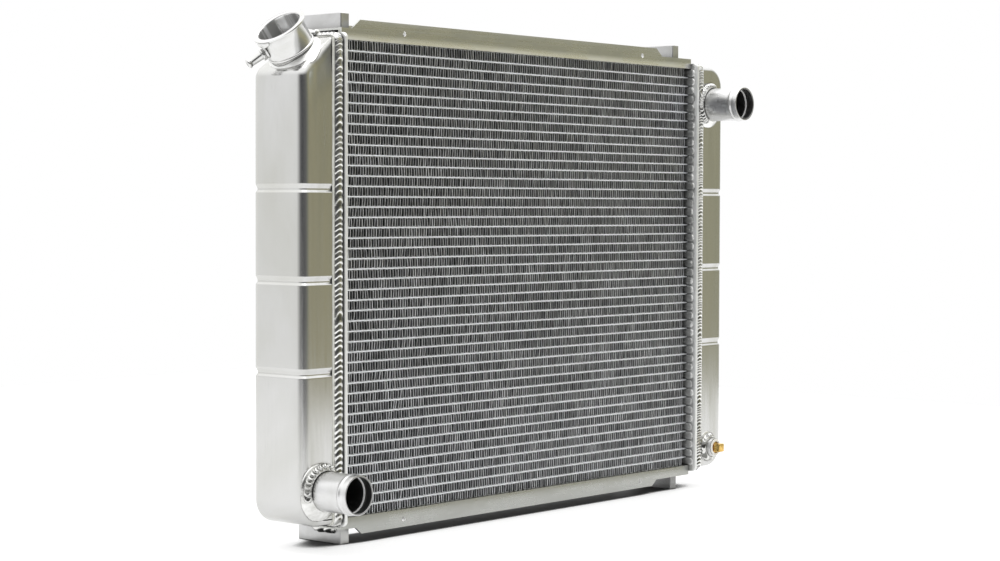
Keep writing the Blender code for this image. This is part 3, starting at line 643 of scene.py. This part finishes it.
# ---------------- end tanks

def edge_radius(point, side):
    """The folded edge is wider along the sloping shoulder under the filler neck."""
    if side > 0:
        return EDGE
    fold = EDGE + 3.0 * smoothstep(18.0, 44.0, point.x)
    if point.y < 0.0:
        return fold
    return fold + 6.0 * smoothstep(9.0, 22.0, point.x) * smoothstep(47.0, 28.0, point.x)


def sag(point, side):
    """The pressed front dips towards the shoulder."""
    if side > 0 or point.y < 0.0:
        return 0.0
    line = TANK_HEIGHT / 2 - (point.x - FLAT_CORNER) * tan(SHOULDER)
    below = (line - point.y) * cos(SHOULDER)
    fade = smoothstep(5.0, 20.0, point.x) * smoothstep(50.0, 30.0, point.x)
    return 4.0 * smoothstep(36.0, 2.0, below) * fade


def tank_outline(side):
    """Outline seen from the front: the flat top, the side and the flat bottom."""
    half, width = TANK_HEIGHT / 2, TANK_WIDTH
    if side > 0:
        run = arc_points((width - BIG_CORNER, half - BIG_CORNER), BIG_CORNER, 90, 0, 14)
    else:
        low_bend = 90 - degrees(SHOULDER)
        drop = (width - FLAT_CORNER) * tan(SHOULDER)
        tuck = TOP_BEND * tan(SHOULDER / 2)
        run = arc_points((FLAT_CORNER - tuck, half - TOP_BEND), TOP_BEND, 90, low_bend, 10)
        knee = SHOULDER_BEND * tan(radians(low_bend / 2))
        turn = arc_points((width - SHOULDER_BEND, half - drop - knee), SHOULDER_BEND, low_bend,
                          0, 12)
        first, last = run[-1], turn[0]
        run += [(first[0].lerp(last[0], i / 10), first[1]) for i in range(1, 10)] + turn
    corner = arc_points((width - BIG_CORNER, BIG_CORNER - half), BIG_CORNER, 0, -90, 14)
    top, bottom = run[-1][0].y, corner[0][0].y
    levels = {round(bottom + (top - bottom) * i / 60, 3) for i in range(1, 60)}
    for rib in RIBS:
        levels = {z for z in levels if abs(z - rib - 0.4) > 5.5}
        levels |= {round(rib + 0.4 - 5.4 + 10.8 * i / 24, 3) for i in range(25)}
    wall = [(Vector((width, z)), Vector((1.0, 0.0))) for z in sorted(levels, reverse=True)]
    return run + wall + corner


def rib_depth(z, out):
    """A long slope facing down and a short one facing up, pressed 1.8 mm into the sheet."""
    deep = 0.0
    for rib in RIBS:
        d = z - rib
        deep = max(deep, 1.8 * min(smoothstep(5.0, -0.5, d) if d > -0.9 else 1.0,
                                   smoothstep(-4.3, -0.9, d)))
    return deep * smoothstep(10.6, 12.6, out)


def make_tank(side, name):
    """Folded sheet tank, open towards the header plate, with its holes cut."""
    outline = tank_outline(side)
    columns = 26
    half = TANK_DEPTH / 2

    def skin(p, n, tilt, y):
        """Point on the sheet: tilt is 0 on the front or back face and 1 on the outline."""
        soft = edge_radius(p, side)
        inset = p - n * soft
        flat = inset + n * soft * sin(tilt)
        depth = -half + soft - soft * cos(tilt) if y is None else y
        dent = rib_depth(flat.y, flat.x)
        if y is None:
            depth += sag(inset, side) * cos(tilt) ** 2
        push = Vector((n.x * sin(tilt), -cos(tilt) if y is None else 0.0,
                       n.y * sin(tilt)))
        return Vector((flat.x, depth, flat.y)) - push * dent

    start, end = outline[0], outline[-1]
    top = [(Vector((start[0].x * j / columns, start[0].y)), start[1]) for j in range(columns)]
    under = [(Vector((end[0].x * j / columns, end[0].y)), end[1]) for j in range(columns)][::-1]
    shape = Shape()
    rim = []
    for p, n in top + outline + under:
        fold = [skin(p, n, radians(90) * k / 8, None) for k in range(9)]
        soft = edge_radius(p, side)
        middle = [skin(p, n, radians(90), -half + soft + (TANK_DEPTH - 2 * soft) * k / 8)
                  for k in range(1, 8)]
        rim.append(fold + middle + [Vector((q.x, -q.y, q.z)) for q in reversed(fold)])
    shape.grid(rim)
    front = []
    for p, n in outline:
        inset = p - n * edge_radius(p, side)
        front.append([(x, -half + rib_depth(inset.y, x) + sag(Vector((x, inset.y)), side), inset.y)
                      for x in (inset.x * j / columns for j in range(columns + 1))])
    shape.grid(front)
    shape.grid([[(x, -y, z) for x, y, z in row] for row in front])
    shape.verts = [(side * (TANK_START + x), y, z) for x, y, z in shape.verts]
    mesh = shape.mesh(name, 60.0)
    if side < 0:
        holes = [drill(NECK_RADIUS - 0.5, -9.0, 12.0, at(*LOWER_NECK) @ OUTWARD),
                 drill(22.0, -30.0, 12.0, filler_place())]
    else:
        holes = [drill(NECK_RADIUS - 0.5, -9.0, 12.0, at(*UPPER_NECK) @ OUTWARD),
                 drill(9.0, -9.0, 12.0, at(*DRAIN) @ OUTWARD)]
    piece(name, carve(mesh, name, holes, thickness=2.5, sharp=50.0), SHEET_Z,
          "rolled_aluminium", "tank_left" if side < 0 else "tank_right")


# ---------------- welds

def ripple(along, across, pitch, bulge):
    """Height of overlapping dimes: a long gentle rise, then a short steep step to the next."""
    t = (along / pitch - bulge * (1.0 - across * across)) % 1.0
    start = smoothstep(-0.4, 0.80, 0.0)
    return smoothstep(-0.4, 0.80, t) - smoothstep(0.80, 1.0, t) - start * (1.0 - t)


def weld(shape, frames, length, width, height, pitch, seed, bulge=0.75, depth=0.45,
         closed=False, spread=12, burnt=1.0):
    """A rippled bead. Each frame is a centre, a direction across and a direction out.

    Bulge curves the ripples and depth is their share of the height. The last argument scales the
    shade painted into the ripple valleys.
    """
    rows, count = [], len(frames)
    for i, (centre, across, out) in enumerate(frames):
        along = length * i / count
        done = along + 1.5 * pitch * wander(along / (pitch * 4.5), seed=seed)
        from_end, ends = min(i, count - 1 - i), 1.0
        if not closed and from_end < count * 0.06:
            ends = min(1.0, sin(pi * from_end / max(8.0, count * 0.06) / 2))
        wide = width * (1.0 + 0.07 * wander(along / (pitch * 2.0), 3.0, seed=seed))
        wide *= 0.4 + 0.6 * ends
        tall = height * (1.0 + 0.12 * wander(along / (pitch * 3.0), 7.0, seed=seed)) * ends
        row = []
        first = len(shape.verts) + i * (spread + 3)
        # painted shade in the valleys between the ripples, kept as a value on each vertex
        heavy = burnt * (0.85 + 0.60 * wander(along / (pitch * 1.3), 11.0, seed=seed))
        for k in range(spread + 1):
            u = -1.0 + 2.0 * k / spread
            t = (done / pitch - bulge * (1.0 - u * u)) % 1.0
            shade = smoothstep(0.02, 0.14, t) * (1.0 - smoothstep(0.52, 0.70, t))
            shape.valley_shade[first + k] = min(1.0, heavy * shade * (1.0 - abs(u) ** 3))
            body = max(0.0, 1.0 - abs(u) ** 2.4) ** 0.6
            crest = ripple(done, u, pitch, bulge) + 0.15 * wander(along * 0.6, u * 2.0, seed=seed)
            rise = tall * body * (1.0 - depth + depth * crest)
            row.append(centre + across * (u * wide / 2) + out * rise)
        row.append(centre + across * (wide / 2) - out * 0.5)
        row.append(centre - across * (wide / 2) - out * 0.5)
        rows.append(row)
    shape.loft(rows, closed)


def rounded_path(half_y, half_z, corner, step):
    """Points and outward normals round a rectangle in the YZ plane, at even spacing."""
    found = rounded(half_y, half_z, corner, 0.0, 8)
    found.append(found[0])
    path, total = [], 0.0
    for (p, n), (q, m) in zip(found, found[1:]):
        span = (q - p).length
        pieces = max(1, round(span / step))
        for i in range(pieces):
            t = i / pieces
            path.append((p.lerp(q, t), n.lerp(m, t).normalized()))
        total += span
    return path, total


def make_tank_weld(side, name):
    """The bead that closes the corner of tank and header plate, with a smooth toe on the tank."""
    shape = Shape()
    path, total = rounded_path(TANK_DEPTH / 2, TANK_HEIGHT / 2, EDGE, 0.6)
    frames = []
    for p, n in path:
        out = Vector((0.0, n.x, n.y))
        centre = Vector((side * (TANK_START + 5.6), p.x, p.y)) + out * 0.4
        frames.append((centre, Vector((side, 0.0, 0.0)), out))
    pitch = 6.0 if side < 0 else 3.5
    weld(shape, frames, total, 11.6, 3.3, pitch, seed=side + 2.0, closed=True,
         depth=0.26 if side < 0 else 0.34, bulge=-0.8, spread=14)
    if side < 0:                                 # tack of the lower bar, seen below the tank
        across, out, length = Vector((0.6, 0.0, -0.8)), Vector((-0.8, 0.0, -0.6)), 34
        tack = [(Vector((-276.2, -13.0 + i, -243.6 + 1.2 * wander(i * 0.2, seed=31.0))),
                 across, out) for i in range(length)]
        weld(shape, tack, length, 8.6, 2.6, 11.0, seed=32.0, depth=0.3, burnt=0.5)
    shape.build(name, WELD, "weld_aluminium", name.replace("_beads", ""), sharp=180.0)
    toe, rows = Shape(), []
    for i, (p, n) in enumerate(path):
        out = Vector((0.0, n.x, n.y))
        wide = 2.6 + 0.5 * wander(i * 0.03, seed=side + 9.0)
        base = Vector((side * (TANK_START + 10.6), p.x, p.y))
        if side < 0 and n.y > 0.5:               # the sheet has already turned down here
            base, wide = base - out * 1.3 * n.y, wide * 0.35
        along = Vector((side, 0.0, 0.0))
        rows.append([base - out * 0.4, base + out * 1.0, base + along * wide * 0.5 + out * 0.95,
                     base + along * wide * 0.85 + out * 0.55, base + along * wide - out * 0.1,
                     base + along * wide - out * 0.5])
    toe.loft(rows, ring=True)
    toe.build(name.replace("_beads", "_toe"), TOE, "weld_aluminium", sharp=180.0)


def ring_frames(place, radius, height, start, end, count, lean=45.0):
    """Frames of a fillet bead round local Z, from one angle to another in degrees."""
    found, turn = [], place.to_3x3()
    c, s = cos(radians(lean)), sin(radians(lean))
    for i in range(count):
        angle = radians(start + (end - start) * i / count)
        radial = Vector((cos(angle), sin(angle), 0.0))
        up = Vector((0.0, 0.0, 1.0))
        centre = place @ (radial * radius + up * height)
        found.append((centre, turn @ (radial * s - up * c), turn @ (radial * c + up * s)))
    return found


def ring_weld(shape, place, radius, lift, start, end, count, swept, *sizes, lean=45.0, **more):
    """A bead round local Z; swept is its length over its radius, as the ripples count it."""
    frames = ring_frames(place, radius, lift, start, end, count, lean)
    weld(shape, frames, radius * swept, *sizes, **more)


def saddle(shape, place, inner, height, reach, seed, steps=120, spread=10, lumps=0.5,
           lip=0.25, ground=lambda x, y: 0.0):
    """Smooth irregular skirt of melted metal round the foot of a neck.

    Height and reach are functions of the angle, ground of the place below. Lip is the share of
    the height that stays up to the edge.
    """
    rows = []
    for step in range(steps):
        angle = 2 * pi * step / steps
        c, s = cos(angle), sin(angle)
        far = reach(angle) * (1.0 + 0.06 * wander(c * 2.0, s * 2.0, seed=seed))
        row = []
        for k in range(spread + 1):
            t = k / spread
            r = inner + (far - inner) * t
            body = (1.0 - t) ** 1.6 * (1.0 - lip) + lip * (1.0 - t ** 3.0)
            bump = lumps * wander(c * r * 0.14, s * r * 0.14, seed=seed + 2.0) * (1.0 - t) * 2.0
            h = height(angle) * body + bump * sin(pi * min(1.0, t + 0.15))
            h = max(h - (0.3 if k == spread else 0.0), -0.3) + ground(r * c, r * s)
            row.append(place @ Vector((r * c, r * s, h)))
        row.append(place @ Vector((inner * c, inner * s, -0.5)))
        rows.append(row)
    shape.loft(rows, ring=True)


# ---------------- hose necks

def neck_profile():
    """Outside and inside of a rolled tube end with a raised hose bead."""
    r, wall, tip, bead = NECK_RADIUS, NECK_WALL, NECK_LENGTH, NECK_LENGTH - 9.0
    outside = [(r - 0.55, tip), (r - 0.16, tip - 0.18), (r, tip - 0.6), (r, bead + 3.4)]
    inside = [(r - wall, bead + 2.8)]
    for step in range(9):
        swell = 0.5 - 0.5 * cos(2 * pi * step / 8)
        outside.append((r + 1.0 * swell, bead + 2.8 - 5.6 * step / 8))
        inside.append((r - wall + 0.9 * swell, bead + 2.4 - 4.8 * step / 8))
    foot = -5.0
    outside += [(r, bead - 4.0), (r, 20.0), (r, foot)]
    inside += [(r - wall, foot)]
    inside = inside[::-1] + [(r - wall, tip - 0.4), (r - wall + 0.3, tip - 0.1)]
    return outside + inside


def make_neck(centre, level):
    """Tube with its bore painted dark as shade and a groove in it painted bright as a highlight,
    and the welds round its foot.
    """
    place = at(*centre) @ OUTWARD
    shape = Shape()
    shape.turned(neck_profile(), place, steps=112)
    tube = shape.build(f"neck_tube_{level}", TURNED, "turned_aluminium", f"hose_neck_{level}",
                       sharp=35.0)

    def bore_or_groove(spot):
        """0 outside, 1 in the bore, 2 in the groove behind the bead."""
        if hypot(spot.x, spot.y) >= NECK_RADIUS - 0.75:
            return 0
        return 2 if 9.6 < NECK_LENGTH - spot.z < 11.4 else 1

    repaint(tube, place, bore_or_groove, BORE, PAINTED_HIGHLIGHT)
    feet = Shape()
    inner = NECK_RADIUS - 0.3
    if level == "lower":
        saddle(feet, place, inner, lambda a: 5.4 + 1.2 * cos(a + 1.9),
               lambda a: 27.5 + 2.6 * cos(a - radians(215)) + 1.2 * cos(3 * a), 4.0)
        ring_weld(feet, place, 22.8, 3.4, 62, 205, 220, 2.5, 8.6, 3.4, 4.9,
                  seed=5.0, depth=0.62, burnt=1.35)
        ring_weld(feet, place, 23.6, 1.6, 215, 420, 260, 3.6, 7.4, 1.3, 9.5, lean=60.0,
                  seed=8.0, depth=0.25)
    else:
        saddle(feet, place, inner, lambda a: 5.0 + 0.8 * cos(a + 1.2),
               lambda a: 25.0 + 2.0 * cos(a - radians(240)) + 0.9 * cos(3 * a), 6.0)
        ring_weld(feet, place, 22.4, 3.2, 70, 250, 240, 3.1, 7.6, 2.4, 4.2, seed=7.0, depth=0.5)
    feet.build(f"neck_foot_{level}", WELD, "weld_aluminium", f"neck_weld_{level}", sharp=180.0)


# ---------------- filler neck

def filler_place():
    """Transform of the filler neck: its axis is square to the shoulder."""
    tilt = Matrix.Rotation(-SHOULDER, 4, "Y")
    return at(*FILLER) @ tilt @ Matrix.Rotation(pi, 4, "Z")


def make_filler():
    """Neck with a flange, cap cams and a cap seat, its welds, and the overflow nipple."""
    place = filler_place()
    profile = [(26.4, 26.2), (26.85, 26.0), (27.0, 25.5), (27.0, 24.6), (26.8, 24.2), (26.3, 24.0),
               (24.4, 23.9), (23.4, 23.6), (23.0, 22.8), (23.0, 12.0), (23.0, 3.0), (23.3, 2.0),
               (24.0, 1.5), (24.3, 0.8), (24.3, 0.1), (24.0, -0.5), (23.2, -0.9), (22.8, -1.6),
               (22.8, -11.0), (21.0, -11.0), (21.0, -2.6), (18.4, -1.9), (17.8, -1.4),
               (17.8, -0.6), (18.3, 0.0), (20.6, 0.8), (21.4, 1.8), (21.5, 12.0), (21.5, 24.0),
               (21.7, 25.4), (22.1, 26.0), (22.6, 26.2)]
    shape = Shape()
    shape.turned(profile, place, steps=144)
    for turn in (0.0, pi):
        spin = place @ Matrix.Rotation(turn, 4, "Z")
        rows = []
        for step in range(15):                       # cap cam hanging from the flange
            angle = radians(-15 + 30 * step / 14)
            drop = 5.2 - 3.0 * abs(step - 6) / 8
            c, s = cos(angle), sin(angle)
            section = [(25.0, 25.2), (27.9, 25.2), (28.4, 24.6), (28.4, 25.0 - drop),
                       (27.8, 24.4 - drop), (26.8, 24.4 - drop), (26.3, 25.0 - drop), (25.6, 23.9)]
            rows.append([spin @ Vector((r * c, r * s, h)) for r, h in section])
        shape.loft(rows)
    body = shape.build("filler_body", SPUN, "turned_aluminium", "filler_neck", sharp=35.0)
    repaint(body, place, lambda spot: int(hypot(spot.x, spot.y) < 21.9 and spot.z < 25.0),
            THROAT)

    skirt = Shape()
    below = place @ at(0.0, 0.0, -5.25)
    soft = edge_radius(Vector((30.0, 200.0)), -1)

    def fall(x, y):
        """Depth of the rounded sheet edges beside and below the neck."""
        over = min(max(0.0, abs(y) - (TANK_DEPTH / 2 - soft)), soft - 0.3)
        past = min(max(0.0, x - 16.9), 11.6)
        beside = sqrt(soft ** 2 - over ** 2) - soft
        return beside + sqrt(SHOULDER_BEND ** 2 - past ** 2) - SHOULDER_BEND

    saddle(skirt, below, 22.9, lambda a: 3.4 - 0.9 * cos(a),
           lambda a: 27.4 - 2.2 * cos(a) + 8.0 * max(0.0, cos(a - 0.75)) ** 2, 11.0,
           steps=144, spread=14, lumps=0.05, lip=0.0, ground=fall)
    skirt.build("filler_skirt", BRIGHT, "weld_aluminium", "filler_weld", sharp=180.0)
    foot = Shape()
    ring_weld(foot, below, 29.6, 1.0, 158, 232, 160, 1.3, 12.0, 4.6, 8.0,
              seed=14.0, depth=0.35, burnt=0.3)
    foot.build("filler_foot", WELD, "weld_aluminium", "filler_weld", sharp=180.0)

    aim = place @ at(0.0, 0.0, 10.0) @ Matrix.Rotation(radians(-30.0), 4, "Z") \
        @ Matrix.Rotation(radians(90.0), 4, "Y")
    tip = 44.0
    pipe = [(3.6, tip), (4.2, tip - 0.2), (4.7, tip - 0.8), (5.0, tip - 1.7), (4.8, tip - 2.6),
            (4.2, tip - 3.6), (4.0, tip - 4.6), (4.0, 28.6), (4.3, 28.0), (5.8, 27.8), (6.0, 27.4),
            (6.0, 25.2), (5.6, 24.7), (5.2, 24.2), (5.6, 23.4), (6.6, 22.4), (2.6, 21.7),
            (2.6, tip - 0.4), (3.0, tip)]
    nipple = Shape()
    nipple.turned(pipe, aim, steps=48)
    nipple.build("nipple_pipe", SPUN, "turned_aluminium", "overflow_nipple", sharp=40.0)


# ---------------- drain

def make_drain():
    """Bung with lumpy welds, nylon washer, and brass plug with a thread and a square head."""
    place = at(*DRAIN) @ OUTWARD
    bung = Shape()
    bung.turned([(9.9, 10.0), (10.3, 9.8), (10.5, 9.3), (10.5, -4.0), (6.95, -4.0), (6.95, 9.4),
                 (7.3, 10.0)], place, steps=64)
    bung.build("bung_body", TURNED, "turned_aluminium", "drain_bung", sharp=35.0)

    blobs = Shape()
    saddle(blobs, place, 10.3, lambda a: 6.2 + 1.0 * cos(a + 0.8),
           lambda a: 17.0 + 1.8 * cos(a - 2.2) + 1.2 * cos(3 * a), 21.0,
           steps=96, lumps=1.3)
    ring_weld(blobs, place, 13.4, 3.0, 60, 290, 200, 4.0, 8.0, 2.8, 9.5,
              seed=23.0, depth=0.40, bulge=0.5)
    ring_weld(blobs, place, 17.6, 0.8, 140, 215, 90, 1.3, 6.8, 1.8, 5.0, lean=80.0,
              seed=26.0, depth=0.5)
    blobs.build("bung_foot", WELD, "weld_aluminium", "bung_weld", sharp=180.0)

    washer = Shape()
    washer.turned([(9.2, 11.8), (9.5, 11.5), (9.5, 10.6), (9.2, 10.3), (6.95, 10.3),
                   (6.95, 11.8)], place, steps=64)
    washer.build("washer_ring", NYLON, "white_nylon", "drain_washer", body="washer", sharp=35.0)

    plug = Shape()
    half, low, high, soft = 4.75, 12.1, 20.1, 0.7     # of the square head
    profile = [(0.001, 0.9), (5.4, 0.9), (5.9, 1.3)]
    h = 1.6
    while h < 10.6:                                   # the thread is a run of turned ridges
        profile += [(6.05, h), (6.55, h + 0.45), (6.6, h + 0.62), (6.15, h + 1.1)]
        h += THREAD_PITCH
    profile += [(6.1, 10.9), (4.6, 11.4), (4.4, low), (0.001, low)]
    plug.turned(profile, place, steps=40, closed=False)
    rows = []
    for inset, level in ((0.0, low), (0.0, high - soft), (0.12, high - 0.35), (0.4, high - 0.1),
                         (0.8, high)):
        ring = [(p.x, p.y) for p, _ in rounded(half, half, soft, inset * 0.8, 4)]
        rows.append([place @ Vector((x - copysign(inset * 0.3, x),
                                     y - copysign(inset * 0.3, y), level)) for x, y in ring])
    plug.loft(rows)
    plug.build("plug_brass", BRASS, "brass", "drain_plug", body="plug", sharp=35.0)


# ---------------- carried-over CAD pieces

def dress(name, material, width):
    """A CAD piece keeps its shape, with its sharp edges broken and a better material."""
    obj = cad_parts[name]
    for slot in obj.material_slots:
        slot.material = material
    if name.startswith("side_channel"):          # the inside of the drilled holes painted near-white as a highlight
        obj.data.materials.append(PAINTED_HIGHLIGHT)
        for face in obj.data.polygons:
            spot = (obj.matrix_world @ face.center - CORE) / MM
            near = min(abs(spot.x - x) for x in CHANNEL_HOLES_X) < HOLE_REACH
            if near and abs(spot.y) < CHANNEL_FACE - 0.2 and face.area < HOLE_FACE:
                face.material_index = len(obj.data.materials) - 1
    edge = obj.modifiers.new("edge", "BEVEL")
    edge.width, edge.segments, edge.limit_method = width * MM, 2, "ANGLE"
    edge.angle_limit = radians(35.0)


# ---------------- studio

def make_studio():
    """White sheet, walls of soft light as seen in the metal, one soft box, and the camera."""
    scene = bpy.context.scene
    scene.view_settings.view_transform = "Standard"
    bpy.ops.mesh.primitive_plane_add(size=FLOOR_SIZE, location=(0.0, 0.0, 0.0))
    floor = bpy.context.object
    floor.name = "studio_floor"
    for corner in floor.data.vertices:           # where the white sheet ends, in front and beside
        corner.co.x = min(corner.co.x, FLOOR_RIGHT)
        corner.co.y = max(corner.co.y, FLOOR_FRONT)
    floor.data.materials.append(FLOOR)

    world = bpy.data.worlds.new("studio")
    scene.world = world
    world.use_nodes = True
    tree = world.node_tree
    back = tree.nodes["Background"]
    heading = axes(tree, node(tree, "ShaderNodeTexCoord").outputs["Generated"])
    around = node(tree, "ShaderNodeMath", operation="ARCTAN2")
    tree.links.new(heading["Y"], around.inputs[0])
    tree.links.new(heading["X"], around.inputs[1])
    turn = remap(tree, around.outputs[0], -pi, pi)
    wall_light = node(tree, "ShaderNodeValToRGB", Fac=turn)
    ramp = wall_light.color_ramp
    walls = [(0.0, 0.45, 0.45, 0.45), (0.05, 0.16, 0.16, 0.16), (0.11, 0.08, 0.08, 0.085),
             (0.25, 0.15, 0.15, 0.145), (0.33, 0.28, 0.28, 0.22), (0.385, 0.45, 0.42, 0.27),
             (0.43, 0.42, 0.43, 0.34), (0.465, 1.0, 1.0, 0.97), (0.50, 1.2, 1.2, 1.2),
             (0.80, 1.2, 1.2, 1.2), (0.89, 1.10, 1.10, 1.10), (1.0, 0.50, 0.50, 0.50)]
    while len(ramp.elements) < len(walls):
        ramp.elements.new(0.5)
    for element, (position, *colour) in zip(ramp.elements, walls):
        element.position, element.color = position, (*colour, 1.0)
    overhead = remap(tree, heading["Z"], 0.30, 0.62)
    studio = blend_colours(tree, overhead, wall_light.outputs["Color"], (1.50, 1.50, 1.50))
    floor_glow = remap(tree, heading["Z"], -0.12, -0.26)
    studio = blend_colours(tree, floor_glow, studio, (0.85, 0.85, 0.85))
    seen = node(tree, "ShaderNodeLightPath").outputs["Is Camera Ray"]
    tree.links.new(blend_colours(tree, seen, studio, (1.0, 1.0, 1.0)), back.inputs["Color"])

    light = bpy.data.lights.new("overhead", "AREA")
    light.energy, light.shape, light.size, light.size_y = 9.0, "RECTANGLE", 1.6, 1.2
    softbox = bpy.data.objects.new("overhead", light)
    softbox.location, aim = (0.1, -0.1, 1.9), Vector((0.0, 0.0, 0.2))
    softbox.rotation_euler = (aim - softbox.location).to_track_quat("-Z", "Y").to_euler()
    scene.collection.objects.link(softbox)

    camera = bpy.data.cameras.new("camera")
    camera.lens, camera.sensor_width, camera.clip_end = CAMERA_LENS, CAMERA_SENSOR, 50.0
    view = bpy.data.objects.new("camera", camera)
    view.location, view.rotation_euler = CAMERA_PLACE, CAMERA_TURN
    scene.collection.objects.link(view)
    scene.camera = view


def make_radiator():
    """Every visible piece, and the looks of the CAD pieces that stay."""
    make_tubes()
    make_fins()
    for side, name in ((-1, "left"), (1, "right")):
        make_header(side, f"header_plate_{name}_sheet")
        make_tank(side, f"tank_{name}_sheet")
        make_tank_weld(side, f"tank_weld_{name}_beads")
    make_neck(LOWER_NECK, "lower")
    make_neck(UPPER_NECK, "upper")
    make_filler()
    make_drain()
    for level in ("top", "bottom"):
        dress(f"core_side_plate_{level}", SHEET_X, 0.4)
        dress(f"side_channel_{level}", SHEET_X, 0.9)
        for side in ("left", "right"):
            shaded = (level, side) == ("bottom", "right")
            dress(f"mount_bar_{level}_{side}", SHADED_BAR if shaded else BAR, 0.3)


make_radiator()
make_studio()
